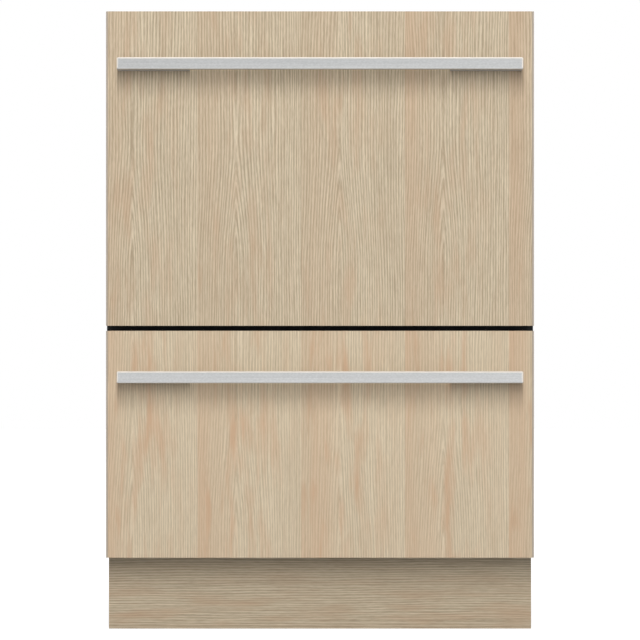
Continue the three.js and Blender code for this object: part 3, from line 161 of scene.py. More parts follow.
class RackSettings(bpy.types.PropertyGroup):
    coating: shade("Coating", "Colour of the coat on the wires", 184, 188, 191)
    basket: shade("Basket", "Colour of the cutlery baskets", 104, 136, 162)
    wire: length("Wire", "Diameter of the rack's wires", 3.6)
    tine: length("Tine", "Diameter of a tine at its foot", 3.2)
    bend: length("Bend", "Radius where a wire turns up", 9)
    cross_wires: amount("Cross wires", "Wires that run side to side", 10)
    long_wires: amount("Long wires", "Wires that run front to back", 13)
    tines_per_row: amount("Tines in a row", "Tines along each row", 16)


class StageSettings(bpy.types.PropertyGroup):
    distance: length("Distance", "Camera to the fronts' plane", 5000)
    eye_height: length("Eye height", "Camera above the floor", 434.1)
    lens: level("Lens", "Focal length for a 36 mm sensor", 201.95, "CAMERA")
    floor_tone: shade("Floor", "Colour of the floor", 176, 176, 176)
    floor_glow: level("Floor glow", "Brightness that the view of the floor gains beside the machine", 0.82)
    ambient: level("Ambient", "Level of the light from all round", 0.09)
    key_power: level("Key light", "Power of the light above the front", 204, "POWER")
    side_power: level("Side lights", "Power of each light beside and behind", 48, "POWER")
    card_power: level("Card", "Power of the soft card that only metal reflects", 30, "POWER")
    overhead_power: level("Overhead light", "Power of the light that edges the bars", 16, "POWER")


SETTINGS = {
    "dishwasher_timber": TimberSettings,
    "dishwasher_handle": HandleSettings,
    "dishwasher_chassis": ChassisSettings,
    "dishwasher_tub": TubSettings,
    "dishwasher_rack": RackSettings,
    "dishwasher_stage": StageSettings,
}


def look(group):
    """The settings of one group, such as timber."""
    return getattr(bpy.context.scene, f"dishwasher_{group}")


# ---------------------------------------------------------------- node trees
SOCKETS = {float: "Float", int: "Int", tuple: "Color", type(None): "Vector"}


class Wiring:
    """Adds nodes to a tree. An input is given a value, or an output socket to link from."""

    def __init__(self, tree):
        self.tree = tree

    def feed(self, node, inputs):
        for key, value in inputs.items():
            if isinstance(value, bpy.types.NodeSocket):
                self.tree.links.new(value, node.inputs[key])
            else:
                node.inputs[key].default_value = value

    def add(self, kind, inputs=None, **settings):
        node = self.tree.nodes.new(kind)
        for key, value in settings.items():
            setattr(node, key, value)
        self.feed(node, inputs or {})
        return node

    def get(self, kind, inputs=None, output=0, **settings):
        """Adds a node and returns one of its outputs."""
        return self.add(kind, inputs, **settings).outputs[output]

    def maths(self, operation, *values):
        return self.get("ShaderNodeMath", dict(enumerate(values)), operation=operation)

    def plus(self, *values):
        return reduce(partial(self.maths, "ADD"), values)

    def times(self, *values):
        return reduce(partial(self.maths, "MULTIPLY"), values)

    def minus(self, first, second):
        return self.maths("SUBTRACT", first, second)

    def vector(self, x=0.0, y=0.0, z=0.0):
        return self.get("ShaderNodeCombineXYZ", {0: x, 1: y, 2: z})

    def blend(self, factor, first, second):
        """Mixes two colours."""
        return self.get("ShaderNodeMix", {0: factor, 6: first, 7: second}, 2, data_type="RGBA")

    def ramp(self, value, low, high, to_low=0.0, to_high=1.0, kind="LINEAR"):
        inputs = {"Value": value, "From Min": low, "From Max": high, "To Min": to_low, "To Max": to_high}
        return self.get("ShaderNodeMapRange", inputs, interpolation_type=kind)

    def mapped(self, vector, **values):
        """Moves, turns or stretches a pattern."""
        return self.get("ShaderNodeMapping", {"Vector": vector, **values})

    def noise(self, vector, scale, detail=2.0, roughness=0.5, offset=(0, 0, 0)):
        """Noise from 0 to 1. A scale of three numbers stretches it, and offset picks another part of it."""
        if isinstance(scale, tuple):
            vector, scale = self.mapped(vector, Scale=scale, Location=offset), 1.0
        inputs = {"Vector": vector, "Scale": scale, "Detail": detail, "Roughness": roughness}
        return self.get("ShaderNodeTexNoise", inputs, "Fac")

    def varied(self, colour, value):
        """The colour, made lighter or darker by a value about 1."""
        return self.get("ShaderNodeHueSaturation", {"Color": colour, "Value": value})

    def group(self, name, inputs):
        """Adds one of the shader groups below and returns its outputs."""
        return self.add("ShaderNodeGroup", inputs, node_tree=shader_group(name)).outputs

    def relief(self, height, strength, depth):
        """Bump from a height of 0 to 1; depth is in millimetres."""
        return self.get("ShaderNodeBump", {"Height": height, "Strength": strength, "Distance": depth * MM})


def add_inputs(tree, inputs):
    """Gives a tree its named inputs. The type of a default picks the socket, and a vector has none."""
    for label, default in inputs.items():
        kind = f"NodeSocket{SOCKETS[type(default)]}"
        socket = tree.interface.new_socket(label, in_out="INPUT", socket_type=kind)
        if default is not None:
            socket.default_value = default


def veneer_grain(w, given):
    """Leaves of veneer side by side. Fine lines run along Z and lean into one pointed figure in each leaf."""
    place = given["Vector"]
    x, y, z = w.add("ShaderNodeSeparateXYZ", {0: place}).outputs
    leaves = w.maths("DIVIDE", w.minus(x, given["Leaf Edge"]), given["Leaf Width"])
    leaf, part = w.maths("FLOOR", leaves), w.maths("FRACT", leaves)
    aside = w.times(w.minus(part, 0.37), given["Leaf Width"])
    rise = w.ramp(z, given["Figure Low"], given["Figure High"], kind="SMOOTHSTEP")
    figure = w.times(rise, given["Figure"], w.ramp(w.maths("ABSOLUTE", aside), 0.0, 0.075, 1.0, 0.0))
    pointed = w.plus(w.maths("SQRT", w.maths("MULTIPLY_ADD", aside, aside, 0.000002)), figure)
    waver = w.noise(place, (60, 60, 8), 1.0, 0.5, (3, 1, 2))
    lean = w.noise(place, (5, 5, 1.5), 1.0)
    across = w.plus(w.times(lean, given["Lean"]), pointed, w.times(waver, 0.003))
    depth = w.plus(w.times(aside, 0.4), y, w.times(leaf, 0.007))
    grain = w.vector(across, depth, z)
    rate = w.maths("DIVIDE", 1.0, given["Streak Width"])
    scaled = w.get("ShaderNodeVectorMath", {0: grain, "Scale": rate}, operation="SCALE")
    spacing = w.noise(scaled, (0.42, 0.42, 0.022), 1.0, 0.5, (5, 2, 8))
    turns = w.plus(w.times(across, w.times(rate, math.tau)), w.times(spacing, 7.0))
    lines = w.ramp(w.maths("SINE", turns), -1.0, 1.0)
    fine = w.ramp(w.noise(scaled, (2.1, 2.1, 0.07), 1.5, 0.6), 0.28, 0.72)
    hair = w.ramp(w.noise(scaled, (4.2, 4.2, 0.3), 1.5, 0.6, (7, 3, 1)), 0.3, 0.7)
    streak = w.ramp(w.plus(w.times(lines, 0.42), w.times(fine, 0.32), w.times(hair, 0.28)), 0.22, 0.84)
    broad = w.vector(aside, leaf, z)
    band = w.noise(broad, (34, 1.7, 1.6), 1.5, 0.5, (2, 7.4, 3))
    patch = w.noise(broad, (60, 3, 9), 2.0, 0.55, (9, 1, 6))
    pores = w.ramp(w.noise(grain, (1500, 1500, 42), 1.0), 0.6, 0.74)
    edge = w.times(w.ramp(part, 0.03, 0.4, 1.0, 0.0), w.ramp(band, 0.32, 0.62, 0.3, 1.0))
    rosy = w.maths("MAXIMUM", edge, w.times(w.ramp(patch, 0.45, 0.7), w.ramp(part, 0.55, 0.9, 1.0, 0.2)))
    return {"Streak": streak, "Band": w.ramp(band, 0.3, 0.7), "Rosy": rosy, "Pores": pores,
            "Height": w.minus(streak, w.times(pores, 0.8))}


def surface_mottle(w, given):
    """Cloudy variation, fine speckle and handling marks for moulded, coated and cast surfaces."""
    place, strength = given["Vector"], given["Amount"]
    cloud = w.noise(place, given["Cloud Scale"], 3.0, 0.55)
    speckle = w.noise(place, given["Speckle Scale"], 2.0, 0.6)
    smear = w.noise(w.mapped(place, Scale=(1, 1, 0.25)), w.times(given["Cloud Scale"], 4.0), 4.0, 0.6)
    lift = w.plus(w.times(w.minus(cloud, 0.5), strength), w.times(w.minus(speckle, 0.5), strength, 0.5))
    return {"Color": w.varied(given["Color"], w.plus(1.0, lift)),
            "Roughness": w.plus(given["Roughness"], w.ramp(smear, 0.3, 0.75, -0.06, 0.08)), "Height": speckle}


def brushed_lines(w, given):
    """Short scratches along X with a fine sparkle, as on brushed or drawn metal."""
    place = given["Vector"]
    long_lines = w.noise(place, (9, 1, 1))
    fine = w.noise(place, (22, 2600, 2600), 2.0, 0.65)
    coarse = w.noise(place, (7, 620, 620), 2.0, 0.5, (3, 1, 0))
    sparkle = w.noise(place, (330, 640, 640), 0.0, 0.5, (1, 4, 2))
    lines = w.plus(w.times(fine, 0.3), w.times(coarse, 0.35), w.times(sparkle, 0.35))
    lift = w.times(w.minus(lines, 0.5), given["Amount"])
    return {"Color": w.varied(given["Color"], w.plus(1.0, lift)),
            "Roughness": w.plus(given["Roughness"], w.times(w.minus(long_lines, 0.5), 0.05)), "Height": lines}


GREY = (0.5, 0.5, 0.5, 1.0)
GROUPS = {
    "Veneer grain": (veneer_grain, {"Vector": None, "Streak Width": 0.004, "Leaf Width": 0.145,
                                    "Leaf Edge": -0.026, "Figure Low": 0.52, "Figure High": 0.69,
                                    "Figure": 0.011, "Lean": 0.025}),
    "Surface mottle": (surface_mottle, {"Vector": None, "Color": GREY, "Roughness": 0.5, "Amount": 0.12,
                                        "Cloud Scale": 9.0, "Speckle Scale": 900.0}),
    "Brushed lines": (brushed_lines, {"Vector": None, "Color": GREY, "Roughness": 0.3, "Amount": 0.2}),
}


def shader_group(name):
    """One of the node groups above, which is made once."""
    if name in bpy.data.node_groups:
        return bpy.data.node_groups[name]
    build, inputs = GROUPS[name]
    tree = bpy.data.node_groups.new(name, "ShaderNodeTree")
    add_inputs(tree, inputs)
    w = Wiring(tree)
    results = build(w, w.add("NodeGroupInput").outputs)
    for label in results:
        kind = "NodeSocketColor" if label == "Color" else "NodeSocketFloat"
        tree.interface.new_socket(label, in_out="OUTPUT", socket_type=kind)
    w.add("NodeGroupOutput", results)
    return tree


FINISHES = {}


def new_material(name, build, **plain):
    """A material with a Principled shader. Plain numbers go on the shader's own sockets, and build returns
    what its other sockets are linked to."""
    material = FINISHES[name] = bpy.data.materials.new(name)
    material.use_nodes = True
    w = Wiring(material.node_tree)
    made = build(w, w.get("ShaderNodeTexCoord", output="Object"))
    plain = {key.replace("_", " "): value for key, value in plain.items()}
    w.feed(w.tree.nodes["Principled BSDF"], {**plain, **made})
    return material


def veneer(name, darker, contrast, rosiness, figure=(0.5, 0.7, 0.012), location=(0, 0, 0), turn=(0, 0, 0)):
    """Open-grain veneer. turn lays the grain along another axis, location picks another cut of it, and
    figure gives the two heights between which the lines come together and how far they move."""
    timber = look("timber")
    # darker scales every tone of the veneer; for the lower front and the plinth it also carries painted light
    # and painted shade.
    dark, light, rosy = ([channel * darker for channel in tone] + [1]
                         for tone in (timber.dark_tone, timber.light_tone, timber.rosy_tone))
    pore = [channel * 0.62 for channel in dark[:3]] + [1]
    sizes = {"Streak Width": timber.streak_width, "Leaf Width": timber.leaf_width,
             "Leaf Edge": timber.leaf_edge, "Figure Low": figure[0], "Figure High": figure[1],
             "Figure": figure[2]}

    def build(w, place):
        place = w.mapped(place, Location=location, Rotation=turn)
        made = w.group("Veneer grain", {"Vector": place, **sizes})
        streak = w.ramp(made["Streak"], 0.0, 1.0, 0.5 - contrast / 2, 0.5 + contrast / 2)
        colour = w.blend(streak, dark, light)
        colour = w.blend(w.times(made["Rosy"], rosiness), colour, rosy)
        colour = w.blend(w.ramp(made["Band"], 0.45, 0.0, 0.0, 0.18), colour, dark)
        colour = w.blend(w.times(made["Pores"], 0.3), colour, pore)
        return {"Base Color": colour, "Roughness": w.ramp(made["Streak"], 0.0, 1.0, 0.66, 0.54),
                "Normal": w.relief(made["Height"], 0.35, 0.12)}
    new_material(name, build, Specular_IOR_Level=0.35)


def textured(name, group, values, strength, depth, turn=(0, 0, 0), **plain):
    """A material whose colour, roughness and fine relief come from one of the node groups."""
    def build(w, place):
        place = w.mapped(place, Rotation=turn)
        made = w.group(group, {"Vector": place, **values})
        return {"Base Color": made["Color"], "Roughness": made["Roughness"],
                "Normal": w.relief(made["Height"], strength, depth)}
    new_material(name, build, **plain)


def moulded(name, tone, roughness, amount=0.1, cloud=9.0, grain=900.0, depth=0.03):
    """Moulded, coated or rubber surface with a fine texture."""
    textured(name, "Surface mottle", {"Color": (*tone, 1), "Roughness": roughness, "Amount": amount,
                                      "Cloud Scale": cloud, "Speckle Scale": grain}, 0.4, depth)


def brushed(name, tone, roughness, amount, metallic, turn=(0, 0, 0)):
    """Metal with fine lines along X, or along another axis when turned."""
    textured(name, "Brushed lines", {"Color": (*tone, 1), "Roughness": roughness, "Amount": amount},
             0.25, 0.02, turn, Metallic=metallic)


def zinc_coated(name, tone):
    """Hot-dip coated sheet: large soft crystals, each a little lighter or darker."""
    values = {"Color": (*tone, 1), "Roughness": 0.46, "Amount": 0.14, "Cloud Scale": 5.0,
              "Speckle Scale": 1400.0}

    def build(w, place):
        jitter = w.noise(place, 60.0)
        warped = w.get("ShaderNodeVectorMath", {0: w.vector(jitter, jitter, jitter), 1: (0.012, 0.012, 0.012),
                                                2: place}, operation="MULTIPLY_ADD")
        crystals = w.get("ShaderNodeTexVoronoi", {"Vector": warped, "Scale": 75.0}, "Color")
        lift = w.get("ShaderNodeSeparateColor", {0: crystals})
        made = w.group("Surface mottle", {"Vector": place, **values})
        return {"Base Color": w.varied(made["Color"], w.ramp(lift, 0.0, 1.0, 0.95, 1.05)),
                "Roughness": w.plus(made["Roughness"], w.ramp(lift, 0.0, 1.0, -0.05, 0.05)),
                "Normal": w.relief(made["Height"], 0.3, 0.02)}
    new_material(name, build, Metallic=0.55)


def make_finishes():
    """Makes every material of the dishwasher."""
    timber, bar, chassis, tub_look, rack = map(look, ("timber", "handle", "chassis", "tub", "rack"))
    quarter = math.radians(90)
    veneer("upper_timber", darker=1.025, contrast=0.92, rosiness=0.55)
    # The lower front's veneer is made lighter than the upper one's: painted light that evens out the key
    # light falling off towards the floor, beside its own warmer, softer grain.
    veneer("lower_timber", darker=1.14, contrast=0.6, rosiness=0.95, figure=(0.1, 0.33, 0.009),
           location=(0, 0.1, 0))
    # The plinth's veneer is darkened: painted shade for the recess under the fronts where it sits back.
    veneer("plinth_timber", darker=0.915, contrast=0.85, rosiness=0.6, figure=(1.0, 1.2, 0.01),
           location=(0.016, 0.3, 0.1), turn=(0, quarter, 0))
    moulded("edge_lipping", timber.edge_tone, 0.55, 0.12, 30.0, 700.0)
    brushed("satin_metal", bar.metal, 0.34, 0.6, 0.85)
    brushed("cast_post", (0.4, 0.4, 0.41), 0.5, 0.2, 0.35)
    # Paler finish for the upper and end chamfers of the bars: a painted highlight.
    brushed("cut_edge", bar.cut_edge, 0.3, 0.05, 0.3)
    zinc_coated("zinc_sheet", chassis.zinc)
    brushed("runner_steel", chassis.zinc, 0.3, 0.2, 0.85, (0, 0, quarter))
    brushed("screw_steel", (0.42, 0.43, 0.44), 0.28, 0.1, 1.0)
    moulded("dark_enamel", chassis.enamel, 0.42, 0.1, 8.0, 1600.0, 0.04)
    moulded("black_rubber", (0.003, 0.003, 0.0032), 0.8, 0.2, 40.0, 800.0)
    moulded("black_plastic", (0.012, 0.0125, 0.013), 0.45, 0.15, 14.0, 1100.0, 0.04)
    moulded("tub_plastic", tub_look.moulding, 0.38, 0.05, 6.0, 900.0, 0.02)
    moulded("pale_plastic", tub_look.pale, 0.4, 0.05, 10.0, 1000.0, 0.02)
    moulded("rack_coating", rack.coating, 0.32, 0.08, 40.0, 1200.0, 0.02)
    moulded("blue_plastic", rack.basket, 0.4, 0.06, 12.0, 900.0, 0.02)
    moulded("indicator_lens", (0.35, 0.42, 0.46), 0.25, 0.05, 50.0, 900.0, 0.01)


# ---------------------------------------------------------------- geometry nodes
def geometry_tree(name, inputs, build):
    """A geometry tree with named inputs. It ends in Realize Instances and Set Material."""
    tree = bpy.data.node_groups.new(name, "GeometryNodeTree")
    for kind in ("Geometry", "Material"):
        tree.interface.new_socket(kind, in_out="INPUT", socket_type=f"NodeSocket{kind}")
    add_inputs(tree, inputs)
    tree.interface.new_socket("Geometry", in_out="OUTPUT", socket_type="NodeSocketGeometry")
    w = Wiring(tree)
    given = w.add("NodeGroupInput").outputs
    made = w.get("GeometryNodeRealizeInstances", {0: build(w, given)})
    painted = w.get("GeometryNodeSetMaterial", {"Geometry": made, "Material": given["Material"]})
    w.add("NodeGroupOutput", {"Geometry": painted})
    return tree


def wire_tree(w, given):
    """Sweeps a round wire along loose edges and rounds its bends."""
    curves = w.get("GeometryNodeMeshToCurve", {"Mesh": given["Geometry"]})
    bent = w.get("GeometryNodeFilletCurve", {"Curve": curves, "Radius": given["Bend"], "Count": 4,
                                             "Limit Radius": True}, mode="POLY")
    ring = w.get("GeometryNodeCurvePrimitiveCircle", {"Resolution": 10, "Radius": given["Radius"]})
    swept = w.get("GeometryNodeCurveToMesh", {"Curve": bent, "Profile Curve": ring, "Fill Caps": True})
    return w.get("GeometryNodeSetShadeSmooth", {"Geometry": swept})


def tine_tree(w, given):
    """Stands a tapered, round-tipped tine on every point."""
    tip = w.times(given["Radius"], 0.72)
    cone = {"Vertices": 10, "Radius Top": tip, "Radius Bottom": given["Radius"], "Depth": given["Height"]}
    shaft = w.get("GeometryNodeMeshCone", cone, "Mesh", fill_type="NGON")
    ball = w.get("GeometryNodeMeshUVSphere", {"Segments": 10, "Rings": 6, "Radius": tip}, "Mesh")
    top = w.vector(z=given["Height"])
    raised = w.get("GeometryNodeTransform", {"Geometry": ball, "Translation": top})
    tine = w.add("GeometryNodeJoinGeometry", {0: raised})
    w.tree.links.new(shaft, tine.inputs[0])
    return w.get("GeometryNodeInstanceOnPoints", {"Points": given["Geometry"], "Instance": tine.outputs[0]})


def screw_tree(w, given):
    """Sets a cross-recessed screw head on every point, turned towards Facing."""
    radius, height = given["Radius"], given["Height"]
    head = w.get("GeometryNodeMeshCone", {"Vertices": 20, "Depth": height, "Radius Bottom": radius,
                                          "Radius Top": w.times(radius, 0.7)}, "Mesh")
    long, narrow = w.times(radius, 1.05), w.times(radius, 0.26)
    for x, y, lift in ((long, narrow, 1.0), (narrow, long, 1.07)):
        arm = w.get("GeometryNodeMeshCube", {"Size": w.vector(x, y, height)})
        raised = w.vector(z=w.times(height, lift))
        arm = w.get("GeometryNodeTransform", {"Geometry": arm, "Translation": raised})
        head = w.get("GeometryNodeMeshBoolean", {"Mesh 1": head, "Mesh 2": arm}, operation="DIFFERENCE")
    turn = w.get("FunctionNodeAlignRotationToVector", {"Vector": given["Facing"]}, axis="Z")
    spin = w.get("FunctionNodeRandomValue", {"Max": 3.0, "Seed": 7}, 1, data_type="FLOAT")
    placed = w.get("GeometryNodeInstanceOnPoints", {"Points": given["Geometry"], "Instance": head,
                                                    "Rotation": turn})
    return w.get("GeometryNodeRotateInstances", {"Instances": placed, "Local Space": True,
                                                 "Rotation": w.vector(z=spin)})


def bar_tree(w, given):
    """Repeats a small block along a straight line."""
    line = w.get("GeometryNodeMeshLine", {"Count": given["Count"], "Start Location": given["Start"],
                                          "Offset": given["Step"]}, mode="OFFSET")
    block = w.get("GeometryNodeMeshCube", {"Size": given["Size"]})
    return w.get("GeometryNodeInstanceOnPoints", {"Points": line, "Instance": block})


def spoke_tree(w, given):
    """Repeats a small block round a ring, each turned to face the middle."""
    ring = w.get("GeometryNodeMeshCircle", {"Vertices": given["Count"], "Radius": given["Radius"]})
    along = w.get("GeometryNodeInputPosition")
    turn = w.get("FunctionNodeAlignRotationToVector", {"Vector": along}, axis="X", pivot_axis="Z")
    block = w.get("GeometryNodeMeshCube", {"Size": given["Size"]})
    spokes = w.get("GeometryNodeInstanceOnPoints", {"Points": ring, "Instance": block, "Rotation": turn})
    return w.get("GeometryNodeTransform", {"Geometry": w.get("GeometryNodeRealizeInstances", {0: spokes}),
                                           "Translation": given["Centre"]})


TREES = {
    "wires": (wire_tree, {"Radius": 0.0018, "Bend": 0.009}),
    "tines": (tine_tree, {"Radius": 0.0016, "Height": 0.062}),
    "screws": (screw_tree, {"Radius": 0.0036, "Height": 0.0015, "Facing": None}),
    "bars": (bar_tree, {"Count": 5, "Start": None, "Step": None, "Size": None}),
    "spokes": (spoke_tree, {"Count": 24, "Radius": 0.08, "Size": None, "Centre": None}),
}


def grown(tree_name, base, material, values):
    """Runs one of the trees on a mesh and returns the plain mesh that it makes. Lengths are in metres."""
    build, inputs = TREES[tree_name]
    tree = bpy.data.node_groups.get(tree_name) or geometry_tree(tree_name, inputs, build)
    carrier = bpy.data.objects.new("carrier", base)
    bpy.context.scene.collection.objects.link(carrier)
    modifier = carrier.modifiers.new(tree_name, "NODES")
    modifier.node_group = tree
    ids = {item.name: item.identifier for item in tree.interface.items_tree if item.in_out == "INPUT"}
    for name, value in {**values, "Material": material}.items():
        modifier[ids[name]] = value
    carrier.update_tag()
    graph = bpy.context.evaluated_depsgraph_get()
    made = bpy.data.meshes.new_from_object(carrier.evaluated_get(graph))
    carrier.modifiers.clear()
    bpy.data.objects.remove(carrier)
    return made


# ---------------------------------------------------------------- outlines and drawings
def span(first, second):
    return min(first, second), max(first, second)


def about(centre, half):
    return centre - half, centre + half


def inset(stretch, by):
    """A span without a little at both ends."""
    return stretch[0] + by, stretch[1] - by


def ends(stretch, width):
    """The first and the last bit of a span."""
    return (stretch[0], stretch[0] + width), (stretch[1] - width, stretch[1])


def shared(count, low, high):
    """Places shared out evenly from low to high."""
    return [low + (high - low) * i / (count - 1) for i in range(count)]


def at_height(points, z):
    return [(px, py, z) for px, py in points]


def arc(centre, radius, degrees):
    """Points on a circle at the given angles."""
    return [(centre[0] + radius * math.cos(angle), centre[1] + radius * math.sin(angle))
            for angle in map(math.radians, degrees)]


def circle(centre, radius, count, start=0.0):
    """Points spread evenly on a circle, anticlockwise from an angle in degrees."""
    return arc(centre, radius, [start + 360 * i / count for i in range(count)])


def rectangle(x, y):
    return [(x[0], y[0]), (x[1], y[0]), (x[1], y[1]), (x[0], y[1])]


def rounded_rectangle(x, y, radius, steps=8):
    """Corner points of a rounded rectangle in plan, anticlockwise from the front right corner."""
    corners = ((x[1] - radius, y[0] + radius, -90), (x[1] - radius, y[1] - radius, 0),
               (x[0] + radius, y[1] - radius, 90), (x[0] + radius, y[0] + radius, 180))
    return [point for cx, cy, start in corners
            for point in arc((cx, cy), radius, [start + 90 * i / steps for i in range(steps + 1)])]


def matching_circle(points, centre, radius):
    """A circle with one point for each given point, seen in the same direction from the centre."""
    start = math.atan2(points[0][1] - centre[1], points[0][0] - centre[0])
    return circle(centre, radius, len(points), math.degrees(start))


def split_sides(outline, longest):
    """The same outline with extra points, so that no side is longer than the given length."""
    points = []
    for (ax, ay), (bx, by) in zip(outline, outline[1:] + outline[:1]):
        parts = max(1, math.ceil(math.hypot(bx - ax, by - ay) / longest))
        points += [(ax + (bx - ax) * i / parts, ay + (by - ay) * i / parts) for i in range(parts)]
    return points


def dimple(x, y):
    """A small round press that a screw sits in, as pressed_sheet takes it."""
    return about(x, 7), about(y, 7), 6.9, SCREW_DROP, 2


def thread(low, high, radius, pitch):
    """Profile of a threaded length, from low to high."""
    turns = max(2, int((high - low) / pitch))
    step = (high - low) / turns
    points = []
    for i in range(turns):
        points += [(radius, low + i * step), (radius * 0.9, low + (i + 0.5) * step)]
    return points + [(radius, high)]


FACINGS = {
    "right": ((0, 1, 0), (0, 0, 1), (1, 0, 0)),
    "left": ((0, -1, 0), (0, 0, 1), (-1, 0, 0)),
    "back": ((-1, 0, 0), (0, 0, 1), (0, 1, 0)),
    "front": ((1, 0, 0), (0, 0, 1), (0, -1, 0)),
    "top": ((1, 0, 0), (0, 1, 0), (0, 0, 1)),
}


def facing(side, origin=(0, 0, 0)):
    """Lays a drawing on a side of the machine: its X runs along the side, its Y up, and its Z points out."""
    return Matrix.Translation(origin) @ Matrix(FACINGS[side]).transposed().to_4x4()


# ---------------------------------------------------------------- mesh making
def loose_mesh(paths):
    """Loose edges in metres, one chain for each path. A path that returns to its start is closed."""
    mesh = bpy.data.meshes.new("paths")
    verts, edges = [], []
    for path in paths:
        first = len(verts)
        closed = len(path) > 1 and path[0] == path[-1]
        stops = path[:-1] if closed else path
        verts += [Vector(p) * MM for p in stops]
        edges += [(first + i, first + i + 1) for i in range(len(stops) - 1)]
        if closed:
            edges.append((first + len(stops) - 1, first))
    mesh.from_pydata(verts, edges, [])
    return mesh


def rounded(part, edges, offset, segments=2):
    bmesh.ops.bevel(part, geom=edges, offset=offset, segments=segments, profile=SOFT_EDGE, affect="EDGES",
                    clamp_overlap=True)


def join_rings(part, rings):
    """Quads between neighbouring rings, which have the same count of corners."""
    for low, high in zip(rings, rings[1:]):
        for corners in zip(low, low[1:] + low[:1], high[1:] + high[:1], high):
            part.faces.new(corners)


def solid_from(mesh):
    """A solid in millimetres from a mesh in metres."""
    part = bmesh.new()
    part.from_mesh(mesh)
    bmesh.ops.transform(part, matrix=Matrix.Scale(1 / MM, 4), verts=part.verts)
    return part


class Piece:
    """Collects solids for one piece, in millimetres, and turns them into an object that stands for a node.
    What belongs to a drawer has the drawer's name before its own, its node's and its body's."""

    def __init__(self, drawer, name, node, *finishes, body=None, slot=None, sharp=40):
        prefix = f"{drawer}_" if drawer else ""
        body = body or ("drawer" if drawer else "chassis")
        self.name, self.node, self.sharp = prefix + name, prefix + node, sharp
        self.body = body if body == "chassis" else prefix + body
        self.slot = slot or finishes[0]
        self.finishes = finishes
        if finishes[0] not in FINISHES:
            make_finishes()
        self.bm = bmesh.new()
        self.room = self.low, self.high, self.mid = node_box(self.node)
        self.x, self.y, self.z = zip(self.low, self.high)

    def take(self, part, slot, turn=None):
        """Adds a finished solid."""
        if turn is not None:
            bmesh.ops.transform(part, matrix=turn, verts=part.verts)
        for face in part.faces:
            face.material_index = slot
        spare = bpy.data.meshes.new("spare")
        part.to_mesh(spare)
        part.free()
        self.bm.from_mesh(spare)
        bpy.data.meshes.remove(spare)

    def box(self, x, y, z, bevel=0.0, slot=0, segments=2):
        part = bmesh.new()
        bmesh.ops.create_cube(part, size=1)
        size = Matrix.Diagonal((x[1] - x[0], y[1] - y[0], z[1] - z[0], 1))
        middle = Matrix.Translation([(v[0] + v[1]) / 2 for v in (x, y, z)])
        bmesh.ops.transform(part, matrix=middle @ size, verts=part.verts)
        if bevel:
            rounded(part, part.edges[:], bevel, segments)
        self.take(part, slot)

    def pair(self, x, y, z, bevel=0.0, slot=0):
        """A box on each side of the machine, with x measured outwards from its middle."""
        for side in SIDES.values():
            self.box(span(side * x[0], side * x[1]), y, z, bevel, slot)

    def loft(self, rings, slot=0, turn=None, caps=True, bevel=0.0):
        """Joins rings of points, all of the same count, with quads, and closes both ends."""
        part = bmesh.new()
        made = [[part.verts.new(point) for point in ring] for ring in rings]
        join_rings(part, made)
        closed = [part.faces.new(made[0][::-1]), part.faces.new(made[-1])] if caps else []
        if bevel:
            bmesh.ops.recalc_face_normals(part, faces=part.faces)
            rounded(part, [edge for face in closed for edge in face.edges], bevel)
        else:
            bmesh.ops.remove_doubles(part, verts=part.verts, dist=SAME_PLACE)
            bmesh.ops.recalc_face_normals(part, faces=part.faces)
        self.take(part, slot, turn)

    def prism(self, outline, low, high, side, bevel=0.0):
        """Pushes an outline that faces a side of the machine out from low to high, and rounds both ends."""
        self.loft([at_height(outline, low), at_height(outline, high)], 0, facing(side), bevel=bevel)

    def lathe(self, profile, centre=(0, 0, 0), axis="Z", sides=40, slot=0):
        """Turns a profile of (radius, height) about an axis through the centre."""
        rings = [at_height(circle((0, 0), radius, sides), height) for radius, height in profile]
        turns = {"Z": Matrix.Identity(4), "Y": Matrix.Rotation(math.radians(-90), 4, "X"),
                 "X": Matrix.Rotation(math.radians(90), 4, "Y")}
        self.loft(rings, slot, Matrix.Translation(centre) @ turns[axis])

    def copy(self, bevel):
        """The node's own solid with its sharp edges rounded."""
        part = solid_from(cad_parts[self.node].data)
        bmesh.ops.remove_doubles(part, verts=part.verts, dist=WELD)
        bmesh.ops.dissolve_limit(part, angle_limit=math.radians(FLAT), verts=part.verts, edges=part.edges)
        sharp = [edge for edge in part.edges
                 if edge.is_manifold and edge.calc_face_angle(0) > math.radians(SHARP)]
        rounded(part, sharp, bevel)
        self.take(part, 0)

    def pressed_sheet(self, outline, presses, thickness, turn, holes=()):
        """Sheet metal with panels pressed into it. A press is (x span, y span, corner, depth, slope)."""
        part = bmesh.new()

        def ring(points, height):
            return [part.verts.new(point) for point in at_height(points, height)]

        def chain(verts):
            return [part.edges.new((a, b)) for a, b in zip(verts, verts[1:] + verts[:1])]

        borders = chain(ring(split_sides(outline, LONGEST_SIDE), 0))
        for hole in holes:
            borders += chain(ring(hole, 0))
        for x, y, corner, depth, slope in presses:
            rings = []
            for share, drop in SLOPE:
                by = share * slope
                radius = max(corner - by, corner * LEAST_CORNER)
                rings.append(ring(rounded_rectangle(inset(x, by), inset(y, by), radius, 5), -drop * depth))
            borders += chain(rings[0])
            join_rings(part, rings)
            part.faces.new(rings[-1])
        bmesh.ops.triangle_fill(part, edges=borders, use_beauty=True, normal=(0, 0, 1))
        rim = [edge for edge in part.edges if len(edge.link_faces) == 1]
        faces = part.faces[:]
        twins = {vert: part.verts.new(vert.co - Vector((0, 0, thickness))) for vert in part.verts[:]}
        for face in faces:
            part.faces.new([twins[vert] for vert in reversed(face.verts)])
        for edge in rim:
            a, b = edge.verts
            part.faces.new((a, b, twins[b], twins[a]))
        bmesh.ops.recalc_face_normals(part, faces=part.faces)
        self.take(part, 0, turn)

